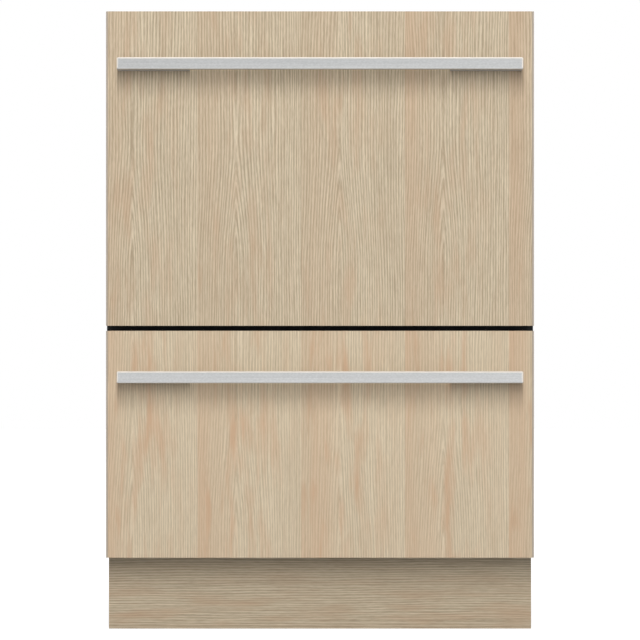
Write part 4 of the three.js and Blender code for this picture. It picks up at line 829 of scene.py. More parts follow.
    def grow(self, tree_name, paths, slot=0, count=None, direction=None, **sizes):
        """Adds what a geometry tree makes. Sizes are in millimetres."""
        values = {"Count": count, "Facing": direction}
        for key, size in sizes.items():
            values[key] = [part * MM for part in size] if isinstance(size, tuple) else size * MM
        values = {key: value for key, value in values.items() if value is not None}
        made = grown(tree_name, loose_mesh(paths), FINISHES[self.finishes[slot]], values)
        self.take(solid_from(made), slot)
        bpy.data.meshes.remove(made)

    def screws(self, places, direction):
        """Screw heads standing on the given places."""
        chassis = look("chassis")
        steel = self.finishes.index("screw_steel")
        self.grow("screws", [[place] for place in places], steel, direction=direction,
                  Radius=chassis.screw_radius / MM, Height=chassis.screw_height / MM)

    def bars(self, start, step, count, size, slot=0):
        """A row of equal bars."""
        self.grow("bars", [], slot, count, Start=start, Step=step, Size=size)

    def spokes(self, count, radius, size, centre):
        """Equal bars round a ring, each pointing to its middle."""
        self.grow("spokes", [], 0, count, Radius=radius, Size=size, Centre=centre)

    def wires(self, paths, diameter, bend=0.0):
        """Round wires along the paths."""
        self.grow("wires", paths, 0, Radius=diameter / 2, Bend=bend)

    def build(self):
        """Makes the object, gives it its finish and fixes it to its body."""
        mesh = bpy.data.meshes.new(self.name)
        bmesh.ops.transform(self.bm, matrix=Matrix.Scale(MM, 4), verts=self.bm.verts)
        self.bm.to_mesh(mesh)
        self.bm.free()
        for finish in self.finishes:
            mesh.materials.append(FINISHES[finish])
        mesh.shade_smooth()
        mesh.set_sharp_from_angle(angle=math.radians(self.sharp))
        piece = bpy.data.objects.new(self.name, mesh)
        bpy.context.scene.collection.objects.link(piece)
        piece.modifiers.new("weighted", "WEIGHTED_NORMAL").keep_sharp = True
        graph = bpy.context.evaluated_depsgraph_get()
        smooth = bpy.data.meshes.new_from_object(piece.evaluated_get(graph), preserve_all_data_layers=True,
                                                 depsgraph=graph)
        piece.modifiers.clear()
        piece.data = smooth
        smooth.name = self.name
        bpy.data.meshes.remove(mesh)
        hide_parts(self.node)
        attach(piece, self.body)


# ---------------------------------------------------------------- fronts, handles and plinth
def timber_panel(drawer):
    """Veneered board with a strip of lipping down each side."""
    timber = look("timber")
    strip, ease = timber.lipping / MM, timber.eased_edge / MM
    piece = Piece(drawer, "veneered_front", "timber_panel", f"{drawer}_timber", "edge_lipping",
                  slot="timber_veneer")
    edge = piece.high.x - strip
    piece.box(about(0, edge), piece.y, piece.z, ease * 0.5)
    piece.pair((edge, piece.high.x), piece.y, piece.z, ease * 0.7, slot=1)
    piece.build()


def plinth():
    piece = Piece("", "veneered_plinth", "plinth_board", "plinth_timber")
    piece.box(piece.x, piece.y, piece.z, look("timber").eased_edge / MM)
    piece.build()


def handle(drawer):
    """Satin bar on two long posts. Every chamfer but the lower ones takes a paler finish, a painted highlight
    for the light it catches.
    """
    sizes = look("handle")
    piece = Piece(drawer, "bar_handle", "handle", "satin_metal", "cut_edge", "cast_post", sharp=50)
    low, high, _ = piece.room
    bar_back = low.y + sizes.bar_depth / MM
    piece.box(piece.x, (low.y, bar_back), piece.z, sizes.bevel / MM)
    # Chamfers that face up, forward or to the ends take the painted highlight; the lower ones keep the satin.
    for face in piece.bm.faces:
        face.material_index = int(max(abs(part) for part in face.normal) < 0.98 and face.normal.z > -0.3)
    panel = node_box(f"{drawer}_timber_panel")[0].y
    piece.pair((high.x - sizes.post_length / MM, high.x), (bar_back - 1, panel - CLEAR),
               (low.z + 0.1, low.z + sizes.post_height / MM), 0.7, slot=2)
    piece.build()


# ---------------------------------------------------------------- chassis
def side_presses(y, z, border):
    """Pressed panels on one side sheet, in two columns with flat bands at the runners and the divider."""
    bands = [node_box(name) for name in ("lower_fixed_rail_left", "divider_shelf", "upper_fixed_rail_left")]
    below, above, aside, middle = 10, 12, 10, sum(y) / 2
    stops = [z[0] + border, *(stop for low, high, _ in bands for stop in (low.z - below, high.z + above)),
             z[1] - border]
    columns = ((y[0] + border, middle - aside), (middle + aside, y[1] - border))
    return [(column, row) for column in columns for row in zip(stops[::2], stops[1::2])]


def runner_places(drawer):
    """Places along Y and Z where a runner is screwed to a side sheet."""
    low, high, mid = node_box(f"{drawer}_fixed_rail_left")
    return [(y, mid.z) for y in (low.y + 20, mid.y, high.y - 20)]


def lid_guides(piece, drawer):
    """Four slotted blocks that the pins of the lid slide in."""
    low, high, mid = node_box(f"{drawer}_lid")
    inner = node_box("divider_shelf")[1].x + CLEAR
    pin, play, block, lift = mid.z, 3.3, 8.3, 12
    top = min(pin + lift + block, high.z + 15, piece.high.z - 2)
    cheek = (inner - 12.5, inner)
    for y in (low.y + 46, high.y - 52):
        slot = about(y, 4)
        for end in (-1, 1):
            piece.pair(cheek, span(y + end * play, y + end * block), (pin - block, top), 0.5, slot=1)
        piece.pair(cheek, slot, (pin - block, pin - play), 0.4, slot=1)
        if top > pin + lift + 3.5:
            piece.pair(cheek, slot, (pin + lift + play, top), 0.4, slot=1)
        piece.pair((inner - 1.5, inner), slot, (pin - 4, top), slot=1)


def chassis_shell():
    """Wrapper of coated sheet: two sides and a top with pressed panels, and the flanged front opening."""
    sizes = look("chassis")
    sheet, depth, border = sizes.sheet / MM, sizes.swage_depth / MM, sizes.swage_border / MM
    piece = Piece("", "pressed_wrapper", "chassis_shell", "zinc_sheet", "black_plastic", "screw_steel")
    low, high, _ = piece.room
    fold, flange, toe, sill = 3.0, 10, low.y + 53, node_box("rear_panel")[0].z
    side_corner, side_slope, top_corner, top_slope, top_share = 22, 7, 30, 6, 0.65
    places = [place for drawer in DRAWERS for place in runner_places(drawer)]
    corner = (high.x - fold, high.z - fold)
    bend = arc(corner, fold, range(0, 91, 15)) + arc(corner, fold - sheet, range(90, -1, -15))
    profile = [(toe, low.z), (high.y, low.z), (high.y, corner[1]), (low.y, corner[1]), (low.y, sill),
               (toe, sill)]
    for name, side in SIDES.items():
        presses = [(span(side * column[0], side * column[1]), row, side_corner, depth, side_slope)
                   for column, row in side_presses((low.y, high.y), (sill, high.z), border)]
        presses += [dimple(side * y, z) for y, z in places]
        sheet_outline = [(side * y, z) for y, z in profile]
        piece.pressed_sheet(sheet_outline, presses, sheet, facing(name, (side * high.x, 0, 0)))
        piece.screws([(side * (high.x - SCREW_DROP), y, z) for y, z in places], (side, 0, 0))
        piece.prism([(-side * x, z) for x, z in bend], low.y, high.y, "back")
    halves = [(span(side * 12, side * (corner[0] - border)), inset(piece.y, border), top_corner,
               depth * top_share, top_slope) for side in SIDES.values()]
    top = rectangle(about(0, corner[0]), piece.y)
    piece.pressed_sheet(top, halves, sheet, facing("top", (0, 0, high.z)))
    hole = rounded_rectangle(about(0, high.x - sheet - flange), (sill + 8, high.z - sheet - flange), 3, 4)
    front = rectangle(about(0, high.x - 0.8), (sill, high.z - 0.8))
    piece.pressed_sheet(front, [], sheet, facing("front", (0, low.y, 0)), holes=[hole])
    piece.box(about(0, high.x - 1), (low.y, toe + 2.5), (sill, sill + sheet), 0.3)
    for drawer in DRAWERS:
        lid_guides(piece, drawer)
    piece.build()


def link_bracket(piece, drawer, back):
    """Plate and pin that carry one end of a service link."""
    low, high, mid = node_box(f"{drawer}_rear_link_arm")
    x, y, top = high.x - LINK_PIN, mid.y, low.z - CLEAR
    under = top - 4
    piece.box(about(x, LINK_PIN), (y - LINK_PIN, back), (under, top), 0.6)
    piece.lathe([(4, top - 2), (4, low.z + 11.5), (3.2, low.z + 12.5)], (x, y, 0), sides=20)
    piece.prism([(y - 6, under), (back, under), (back, under - 22)], x - 1, x + 1, "right")


def rear_panel():
    """Pressed back with folded edges, dimples for its screws and a vent."""
    sizes = look("chassis")
    sheet, depth = sizes.sheet / MM, sizes.swage_depth / MM * 1.4
    piece = Piece("", "pressed_back", "rear_panel", "zinc_sheet", "screw_steel")
    low, high, _ = piece.room
    near, far, corner, slope = 136, 272, 26, 10
    places = [(x, z) for z in (low.z + 16, low.z + 320, high.z - 16) for x in (-far, -near, 0, near, far)]
    places += [(x, z) for z in (low.z + 110, low.z + 215, high.z - 120, high.z - 260) for x in (-far, far)]
    panels = ((high.z - 410, high.z - 34), (low.z + 34, low.z + 300))
    presses = [(about(0, 250), z, corner, depth, slope) for z in panels]
    presses += [dimple(x, z) for x, z in places]
    piece.pressed_sheet(rectangle(piece.x, piece.z), presses, sheet, facing("back", (0, high.y, 0)))
    piece.screws([(-x, high.y - SCREW_DROP, z) for x, z in places], (0, 1, 0))
    folded = (high.y - 13.2, high.y - 0.2)
    piece.pair((high.x - sheet, high.x), folded, piece.z, 0.3)
    for z in ends(piece.z, sheet):
        piece.box(piece.x, folded, z, 0.3)
    piece.box(inset(piece.x, sheet), (low.y, folded[0] + 1), (low.z, low.z + sheet), 0.3)
    for drawer in DRAWERS:
        link_bracket(piece, drawer, high.y - sheet - 0.5)
    for z in (high.z - 90, high.z - 124):
        piece.bars((60, high.y - depth + CLEAR, z), (14, 0, 0), 11, (7, 1.6, 24))
    piece.build()


def chassis_inside():
    """Divider shelf, base pan and front seal."""
    shelf = Piece("", "divider", "divider_shelf", "zinc_sheet")
    shelf.copy(0.3)
    shelf.build()
    pan = Piece("", "moulded_base_pan", "base_pan", "black_plastic")
    low, high, mid = pan.room
    first, behind = -84, high.y + 0.9
    pan.copy(0.5)
    pan.bars((first, behind, mid.z), (24, 0, 0), 10, (2, 2, high.z - low.z - 4))
    pan.box(about(first, 1), about(behind, 1), about(high.z - 3, 2))
    pan.build()
    seal = Piece("", "opening_seal", "front_seal", "black_rubber")
    across, depth, up = (levels("front_seal", axis) for axis in range(3))
    for x in (across[:2], across[-2:]):
        seal.box(x, (depth[0], depth[-1]), (up[0], up[-1]), 0.8)
    for z in (up[:2], up[2:4], up[-2:]):
        seal.box((across[0], across[-1]), inset((depth[0], depth[-1]), 0.05), z, 0.8)
    seal.build()


def levelling_foot(place):
    """Threaded stem on a swivel pad, with a lock nut under the pan."""
    piece = Piece("", f"{place}_foot", f"levelling_foot_{place}", "black_plastic", "screw_steel", sharp=30)
    x, y, _ = piece.mid
    pan = node_box("base_pan")[0].z
    pad = [(17, 0), (19.4, 0.6), (20, 2), (20, 3.4), (19, 4.4), (12, 5.6), (9.4, 7.6), (8.6, 9.4), (5.6, 10)]
    piece.lathe(pad, (x, y, 0), sides=48)
    piece.lathe([(4.4, 9), *thread(10, pan + 26, 5, 2.0), (4.2, piece.high.z)], (x, y, 0), sides=20, slot=1)
    piece.lathe([(9.6, -8.2), (10.6, -7.4), (10.6, -1), (9.6, -CLEAR)], (x, y, pan), sides=6, slot=1)
    piece.build()


# ---------------------------------------------------------------- services in the base
def inlet_valve():
    """Solenoid valve with a threaded stub for the hose."""
    piece = Piece("", "inlet_valve", "water_inlet_valve", "pale_plastic", "black_plastic", "screw_steel",
                  sharp=30)
    low, high, mid = piece.room
    back = node_box("base_pan")[1].y
    face = back - 2.8
    coil = face - 44
    centre = (mid.x, 0, mid.z)
    piece.box(piece.x, (coil, face), piece.z, 2.2, segments=3)
    piece.lathe([(15, low.y), (16.4, low.y + 1.4), (16.4, coil)], centre, "Y", slot=1)
    piece.bars((mid.x, low.y + 8, high.z - 2.6), (0, 6, 0), 4, (14, 2, 4), slot=1)
    for blade in about(mid.x, 8):
        piece.box(about(blade, 2), (coil - 8, coil), (high.z - 4, high.z - 1), 0.4, slot=2)
    stub = [(8, back + 2), (8, high.y - 0.4), (8.6, high.y), (12.2, high.y), (13.2, high.y - 1.2)]
    stub += reversed(thread(back + 4, high.y - 2, 13.2, 2.3))
    piece.lathe([*stub, (12, back + 3), (12, face - 1)], centre, "Y")
    piece.build()


def bulkhead():
    """Plate with two barbed drain tails and a cable gland."""
    piece = Piece("", "drain_and_mains_bulkhead", "service_bulkhead", "black_plastic", "screw_steel",
                  sharp=30)
    low, high, mid = piece.room
    outer, pitch = low.y + 3, 44
    plate = rounded_rectangle(piece.x, piece.z, 4, 5)
    piece.prism([(-x, z) for x, z in plate], low.y, outer, "back", bevel=0.5)
    long = high.y - outer
    barbs = [(7, 0), (7, long - 0.4), (7.4, long), (8, long), (9.5, long - 4), (9.5, long - 5.5),
             (8.6, long - 9.5), (9.5, long - 9.6), (8.6, long - 15), (9.5, long - 15.1), (8.6, long - 21),
             (9.5, 2.5), (9.5, -1)]
    for tail in (mid.x - pitch, mid.x):
        piece.lathe(barbs, (tail, outer, mid.z), "Y", 32)
    gland = (mid.x + pitch, outer, mid.z)
    piece.lathe([(7.4, -1), (9, 0), (9, 5), (8.2, 6)], gland, "Y", 6)
    piece.lathe([(4, 2), (4, 13.4), (4.6, 14), (6, 13), (7.6, 9), (8, 6), (8, 0)], gland, "Y", 32)
    piece.screws([(x, outer, z) for x in inset(piece.x, 7) for z in inset(piece.z, 7)], (0, 1, 0))
    piece.build()


def control_module():
    """Lidded box with cooling ribs and plug-in connectors."""
    piece = Piece("", "control_box", "control_module", "black_plastic", "pale_plastic", "screw_steel")
    low, high, mid = piece.room
    shoulder = low.z + 21
    piece.box(piece.x, piece.y, (low.z, shoulder), 1.2)
    piece.box(inset(piece.x, 8), inset(piece.y, 8), (low.z, high.z - 1.5), 1.6)
    piece.bars((low.x + 30, mid.y, high.z - 1.4), (9, 0, 0), 15, (2.2, high.y - low.y - 40, 2.6))
    piece.bars((low.x + 26, low.y + 4, shoulder + 2.5), (24, 0, 0), 6, (16, 6, 5), slot=1)
    piece.screws([(x, y, shoulder) for x in inset(piece.x, 4) for y in inset(piece.y, 4)], (0, 0, 1))
    piece.build()


def service_link(drawer, end):
    """Hose and cable carrier arm."""
    piece = Piece(drawer, f"{end}_carrier_arm", f"{end}_link_arm", "black_plastic", body=f"{end}_link",
                  sharp=30)
    piece.copy(0.5)
    piece.build()


# ---------------------------------------------------------------- runners and drawer fronts
def channel(piece, side, x, y, z):
    """Folded channel along Y that opens towards the middle, with slots through its web."""
    sheet, bend, slots, slot_half = 1.2, 2.0, 7, 3.4
    (inner, web), sign, middle = x, SIDES[side], (z[0] + z[1]) / 2
    holes = []
    for i in range(slots):
        centre = sign * (y[0] + (y[1] - y[0]) * (i + 0.5) / slots)
        along = about(centre, 13 if i % 2 else slot_half)
        holes.append(rounded_rectangle(along, about(middle, slot_half), 3.3, 5))
    outline = [(sign * py, pz) for py, pz in rectangle(y, inset(z, bend))]
    piece.pressed_sheet(outline, [], sheet, facing(side, (sign * web, 0, 0)), holes)
    for edge, up in ((z[1], 1), (z[0], -1)):
        centre = (web - bend, edge - up * bend)
        steps = [up * 22.5 * i for i in range(5)]
        lip = [(inner, edge), (inner, edge - up * sheet)]
        fold = arc(centre, bend, steps) + lip + arc(centre, bend - sheet, steps[::-1])
        piece.prism([(-sign * px, pz) for px, pz in fold], *y, "back")


def fixed_runner(drawer, side):
    piece = Piece(drawer, f"outer_runner_{side}", f"fixed_rail_{side}", "runner_steel", body="chassis")
    inner, outer = sorted(map(abs, piece.x))
    web, sign = inner + 12.5, SIDES[side]
    channel(piece, side, (inner, web), piece.y, piece.z)
    for y, z in runner_places(drawer):
        piece.box(span(sign * (web - 0.6), sign * outer), about(y, 20), about(z, 12), 0.8)
    piece.build()


def middle_runner(drawer, side):
    piece = Piece(drawer, f"middle_runner_{side}", f"middle_rail_{side}", "runner_steel", body="middle_rails")
    channel(piece, side, sorted(map(abs, piece.x)), piece.y, piece.z)
    piece.build()


def carriage(drawer):
    """The two inner runners, their bearers under the tub and the strap that joins them at the front."""
    piece = Piece(drawer, "inner_runners", "carriage", "runner_steel", "black_plastic", "screw_steel")
    low, high, mid = piece.room
    rail_low, rail_high, _ = node_box(f"{drawer}_middle_rail_right")
    strap, run = low.y + 2, rail_high.y - rail_low.y - 20
    for side in SIDES:
        channel(piece, side, (rail_low.x, high.x), (strap, high.y), piece.z)
    for share in (0.12, 0.5, 0.88):
        y = rail_low.y - 4.4 + share * run
        piece.pair((rail_low.x - 10.2, high.x - 0.6), about(y, 20), about(mid.z, 12), 0.8)
    piece.pair((rail_low.x + 1, high.x - 1.6), (high.y - 9, high.y - 0.5), inset(piece.z, 1.6), 0.6, slot=1)
    piece.box(piece.x, (low.y, strap), piece.z, 0.4)
    piece.screws([(x, strap, z) for x in (-230, -80, 80, 230) for z in about(mid.z, 11)], (0, 1, 0))
    piece.build()


def front_frame(drawer):
    """Enamelled tray behind the timber front, with a pressed skin."""
    piece = Piece(drawer, "enamelled_frame", "front_frame", "dark_enamel", "screw_steel")
    low, high, mid = piece.room
    sheet, (strip_low, strip_high, _) = 2, node_box(f"{drawer}_control_strip")
    corner, depth, slope = 20, 3, 7
    press = (about(0, 240), (low.z + 24, high.z - 30), corner, depth, slope)
    piece.pressed_sheet(rectangle(piece.x, piece.z), [press], sheet, facing("back", (0, high.y, 0)))
    (left, right), (bottom, top) = ends(piece.x, sheet), ends(piece.z, sheet)
    for x, z in ((left, piece.z), (right, piece.z), (piece.x, bottom),
                 ((low.x, strip_low.x - CLEAR), top), ((strip_high.x + CLEAR, high.x), top)):
        piece.box(x, (low.y, high.y - 0.5), z, 0.5)
    heights = (low.z + 10, mid.z + 30, high.z - 10)
    piece.screws([(x, high.y - 1.2, z) for x in about(0, 281) for z in heights], (0, 1, 0))
    piece.build()


# ---------------------------------------------------------------- tubs
def tub(drawer):
    """Moulded tub with a coved floor, a sump and a broad rim that the lid closes on."""
    sizes = look("tub")
    wall, corner, cove = sizes.wall / MM, sizes.corner / MM, sizes.coving / MM
    piece = Piece(drawer, "moulded_tub", "tub", "tub_plastic", "pale_plastic", sharp=35)
    floor, rim, rim_width, rim_corner = tub_floor(drawer), rim_height(drawer), 14, 30
    rim_x, rim_y = piece.x, (piece.low.y, node_box(f"{drawer}_lid")[1].y)
    x, y = inset(rim_x, rim_width), (rim_y[0], rim_y[1] - rim_width)
    centre = (0, sum(y) / 2)

    def outline(by, z):
        return at_height(rounded_rectangle(inset(x, by), inset(y, by), corner - by, 9), z)

    def edge(by, z):
        return at_height(rounded_rectangle(inset(rim_x, by), inset(rim_y, by), rim_corner - by, 9), z)

    def sump(radius, z):
        return at_height(matching_circle(outline(wall, 0), centre, radius), z)

    inside = ((30, -27.4), (70, -28), (77, -26), (81, -21), (81.5, -4), (83, -1), (87, 0.1))
    rings = [sump(radius, floor + up) for radius, up in inside]
    for angle in map(math.radians, range(15, 91, 15)):
        rings.append(outline(wall + cove * (1 - math.sin(angle)), floor + 0.6 + cove * (1 - math.cos(angle))))
    mouth = ((0, 24), (0, 17), (0.9, 16), (0.9, 1.6), (1.4, 0.5), (2.6, 0))
    rings += [outline(wall - out, rim - down) for out, down in mouth]
    rings += [edge(by, rim - down) for by, down in ((1.6, 0), (0.4, 0.5), (0, 1.6), (0, 5.4), (0.6, 6))]
    rings += [outline(0, z) for z in (rim - 6.1, rim - 9, floor + cove)]
    for angle in map(math.radians, range(18, 91, 18)):
        rings.append(outline(cove * (1 - math.cos(angle)), floor + cove - (cove + wall) * math.sin(angle)))
    outside = ((89, wall), (85, wall + 2), (84, 26), (82, 30), (76, 31), (30, 31))
    rings += [sump(radius, floor - down) for radius, down in outside]
    piece.loft(rings)
    tub_fittings(piece, drawer, x[1], *y, floor, rim)
    piece.build()


def tub_fittings(piece, drawer, half, front, back, floor, rim):
    """Rack ledges, stiffening ribs, a vent and the bracket of the service link."""
    rack_low, rack_high, _ = node_box(f"{drawer}_dish_rack")
    for share in (0.25, 0.75):
        y = rack_low.y + share * (rack_high.y - rack_low.y)
        piece.pair((rack_high.x - 5, half - 2), about(y, 15), (floor + 27.7, floor + 33.7), 1.5)
        piece.pair((half - 14, half - 2), about(y, 1.5), (floor + 12, floor + 29), 0.8)
    top, bottom = rim - 8, floor + 92
    for x in (-half - 1, half + 1):
        piece.bars((x, front + 52, (top + bottom) / 2), (0, 42, 0), 10, (3, 2, top - bottom))
        piece.bars((x, (front + back) / 2, rim - 30), (0, 0, -60), 2, (2.4, back - front - 90, 2))
    piece.bars((-190, back + 1, (rim + floor) / 2 + 30), (38, 0, 0), 10, (2, 3, rim - floor - 90))
    vent = (-half + 3, 150, floor + (rim - floor) * 0.74)
    piece.lathe([(27, -0.5), (27, 1.2), (25.6, 2.4), (20, 3.2), (4, 3.2)], vent, "X", slot=1)
    for up in (-12, -6, 0, 6, 12):
        piece.box((vent[0] + 2, vent[0] + 4.2), about(vent[1], 15), about(vent[2] + up, 1.2), 0.5, slot=1)
    _, arm_high, arm_mid = node_box(f"{drawer}_rear_link_arm")
    x, y, z = arm_high.x - LINK_PIN, arm_mid.y, node_box(f"{drawer}_front_link_arm")[1].z + CLEAR
    piece.box(about(x, LINK_PIN), (back - 24, y + LINK_PIN), (z, z + 4), 0.8)
    piece.prism([(back - 20, z + 2), (y + 2, z + 3), (back - 20, z + 56)], x - 1.5, x + 1.5, "right")
    piece.lathe([(3.4, z - 12.5), (4, z - 11.5), (4, z + 2)], (x, y, 0), sides=20)


def motor(drawer):
    """Circulation motor under the sump, with its ribbed cover and outlet."""
    piece = Piece(drawer, "motor_pump", "wash_motor", "black_plastic", "screw_steel", "black_rubber",
                  sharp=30)
    low, high, mid = piece.room
    tall, y = high.z - low.z, node_box(f"{drawer}_filter_plate")[2].y
    piece.lathe([(20, 1.4), (34, 1.4), (36, 0), (70, 0), (77, 1.6), (79.4, 5), (80, 8), (80, tall - 3),
                 (79, tall - 1), (76, tall)], (0, y, low.z), sides=64)
    piece.spokes(18, 55, (30, 2.4, 2.4), (0, y, low.z + 0.8))
    outlet = (0, high.y, mid.z)
    piece.lathe([(7, -12), (7, -0.5), (7.6, 0), (10.4, 0), (11, -0.8), (11, -8), (10, -9),
                 (10, y + 74 - high.y)], outlet, "Y", 28)
    piece.lathe([(10.4, -22), (11.4, -21.6), (11.4, -14.4), (10.4, -14)], outlet, "Y", 28, slot=1)
    piece.build()


def filter_plate(drawer):
    """Drain filter: an open ring of spokes round a fine cup, with the spray arm's spigot in the middle."""
    piece = Piece(drawer, "drain_filter", "filter_plate", "pale_plastic", "tub_plastic", sharp=30)
    base, y = piece.low.z, piece.mid.y
    tall, knob = piece.high.z - base, y - 88
    rim = [(73, 0.2), (73, 2.4), (73.6, 3), (113, 3), (115.4, 2.2), (116, 0.6), (115.6, 0), (73, 0.2)]
    piece.loft([at_height(circle((0, y), radius, 72), base + up) for radius, up in rim], caps=False)
    piece.spokes(60, 59.5, (29, 1.9, 2.6), (0, y, base + 1.5))
    piece.lathe([(46, 0), (47, 0.6), (47, 2.6), (46.4, 3.2), (30, 3.4), (28, 4.6), (26.6, 5), (14, 5),
                 (11, 6.5), (8.6, 8), (8, 9), (8, tall - 1), (7.2, tall)], (0, y, base), sides=48)
    piece.lathe([(14, 1), (14, 5.4), (13, 6.6), (11, 7)], (0, knob, base), sides=32, slot=1)
    piece.box((-10, 10), about(knob, 1.6), (base + 6, base + 9.6), 0.7, slot=1)
    piece.build()


def spray_arm(drawer):
    """Two hollow blades on a hub, with raised jets."""
    piece = Piece(drawer, "washing_arm", "spray_arm", "pale_plastic", "black_plastic", body="spray_arm",
                  sharp=30)
    y, under = piece.mid.y, tub_floor(drawer) + ARM_RISE
    foot, first_jet, jet_pitch, aside = piece.low.z - under, 52, 27, 4
    stations = [(-214, 3, 2), (-213, 7, 3.4), (-209, 10.4, 4.2), (-200, 12.4, 4.5), (-150, 14.6, 4.5),
                (-90, 17, 4.6), (-40, 19.4, 4.8), (0, 20.4, 5)]
    stations += [(-x, width, height) for x, width, height in reversed(stations[:-1])]

    def squared(part):
        return math.copysign(abs(part) ** 0.8, part)

    piece.loft([[(x, y + half_width * squared(across), under + 4.5 + half_height * squared(up))
                 for across, up in circle((0, 0), 1, 24)] for x, half_width, half_height in stations])
    piece.lathe([(18, foot), (20, foot + 0.8), (20, 0), (24, 2), (24, 8), (22.6, 10), (19, 10.8), (12, 11),
                 (10, 10.2)], (0, y, under), sides=48)
    piece.lathe([(9, 9.8), (9, 10.6), (8, 11)], (0, y, under), sides=6, slot=1)
    jet = [(0.4, 8.8), (1.7, 8.8), (2, 10.4), (3.2, 10.4), (4.2, 8)]
    for blade in (-1, 1):
        for i in range(6):
            x = blade * (first_jet + jet_pitch * i)
            piece.lathe(jet, (x, y + (aside if i % 2 else -aside), under), sides=16)
    piece.build()


# ---------------------------------------------------------------- racks and baskets
def dish_rack(drawer):
    """Coated wire rack: U-shaped wires both ways under a thicker rim, and rows of tines."""
    rack = look("rack")
    piece = Piece(drawer, "wire_rack", "dish_rack", "rack_coating", "black_plastic")
    floor, wire, rim_wire = tub_floor(drawer), rack.wire / MM, rack.wire / MM * 1.45
    reach, base = rim_wire / 2, piece.low.z + wire / 2
    top = floor + RACK_RIM[drawer] - reach
    x, y = inset(piece.x, reach), inset(piece.y, reach)
    foot_x, foot_y = inset(x, 4), inset(y, 4)
    paths = [[(x[0], py, top), (foot_x[0], py, base + wire), (foot_x[1], py, base + wire), (x[1], py, top)]
             for py in shared(rack.cross_wires, *inset(foot_y, 8))]
    paths += [[(px, y[0], top), (px, foot_y[0], base), (px, foot_y[1], base), (px, y[1], top)]
              for px in shared(rack.long_wires, *inset(foot_x, 6))]
    piece.wires(paths, wire, rack.bend / MM)

    def loop(by, z, corner):
        outline = rounded_rectangle(inset(x, by), inset(y, by), corner, 6)
        return at_height(outline + outline[:1], z)

    piece.wires([loop(0, top, 26)], rim_wire)
    belt = (top + base) / 2
    bands = [(2.6, belt), (1.4, belt + 34)] if drawer == "upper" else [(2, belt)]
    piece.wires([loop(by, z, 24) for by, z in bands], wire)
    rows = shared(7, *inset(piece.x, 2))[1:5]
    piece.wires([[(px, foot_y[0], base), (px, foot_y[1], base)] for px in rows], wire)
    feet = [[(px, py, base)] for px in rows for py in shared(rack.tines_per_row, *inset(piece.y, 22))]
    piece.grow("tines", feet, Radius=rack.tine / MM / 2, Height=floor + TINE_TIP - base)
    if drawer == "upper":
        hinge_low, hinge_high, hinge = node_box("upper_cup_rack")
        for end in (hinge_low.y + 3, hinge_high.y - 3):
            piece.box(about(hinge_low.x + 2, 5), about(end, 3), (top - 3, hinge.z + 5), 1.6, slot=1)
    piece.build()


def cup_rack():
    """Fold-up shelf whose wires dip between the cups."""
    wire = look("rack").wire / MM
    piece = Piece("", "folding_cup_shelf", "upper_cup_rack", "rack_coating", body="upper_cup_rack")
    z, between = piece.mid.z, inset(piece.y, 6)
    xs = shared(5, *inset(piece.x, 2))
    dips = [(x, z - down) for x, down in zip(xs, (0, 5, 0, 5, 0))]
    piece.wires([[(px, py, pz) for px, pz in dips] for py in shared(9, *inset(between, 4))], wire, 20)
    rods = ((xs[0], piece.y), (xs[2], between), (xs[4], between))
    piece.wires([[(x, y, z) for y in stretch] for x, stretch in rods], wire * 1.08)
    piece.build()


def cutlery_basket(drawer):
    """Lattice basket with four cells."""
    piece = Piece(drawer, "lattice_basket", "cutlery_basket", "blue_plastic")
    low, high, mid = piece.room
    wall, cells, tall = 2.4, 4, high.z - low.z - 2
    hoops = ((high.z - 8, high.z), (low.z, low.z + 9), (low.z + 46, low.z + 50))
    for z in hoops:
        for x in ends(piece.x, wall):
            piece.box(x, piece.y, z, 0.7)
        for y in ends(piece.y, wall):
            piece.box(piece.x, y, z, 0.7)
    for x in ends(piece.x, 5):
        for y in ends(piece.y, 5):
            piece.box(x, y, piece.z, 1.2)
    side_x, side_y = inset(piece.x, wall / 2), inset(piece.y, wall / 2)
    for y in shared(cells + 1, *side_y)[1:-1]:
        for z in hoops:
            piece.box(piece.x, about(y, wall / 2), z, 0.6)
        piece.bars((low.x + 8, y, mid.z), (7.5, 0, 0), 9, (2, 1.6, tall))
    for x in side_x:
        piece.bars((x, low.y + 9.5, mid.z), (0, 7.7, 0), 24, (1.7, 2, tall))
    for y in side_y:
        piece.bars((low.x + 8, y, mid.z), (7.5, 0, 0), 9, (2, 1.7, tall))
    piece.bars((mid.x, low.y + 8, low.z + 1.4), (0, 7.6, 0), 25, (high.x - low.x - 2, 2, 2.4))
    piece.bars((low.x + 10, mid.y, low.z + 1.2), (14, 0, 0), 5, (2, high.y - low.y - 2, 2))
    piece.build()


# ---------------------------------------------------------------- lids and dispensers
def lid(drawer):
    """Ribbed lid that drops on the tub's rim, with a hollow-lobed seal."""
    piece = Piece(drawer, "ribbed_lid", "lid", "tub_plastic", body="lid", sharp=35)
    piece.copy(0.8)
    for z in inset(piece.z, 2.2):
        piece.bars((0, piece.low.y + 62, z), (0, 46, 0), 9, (490, 1.8, 3.6))
        piece.bars((-220, piece.mid.y, z), (55, 0, 0), 9, (1.8, 420, 3.6))
    piece.build()
    seal = Piece(drawer, "lobed_seal", "lid_seal", "black_rubber", body="lid", sharp=50)
    low, high, _ = seal.room
    outer, lobe, inner = (rounded_rectangle(inset(seal.x, by), inset(seal.y, by), 28 - by)
                          for by in (0.6, 6, 11.4))
    seal.pressed_sheet(outer, [], 2, facing("top", (0, 0, high.z)), holes=[inner])
    thick = 5.2
    seal.wires([at_height(lobe + lobe[:1], low.z + thick / 2)], thick)
    seal.build()


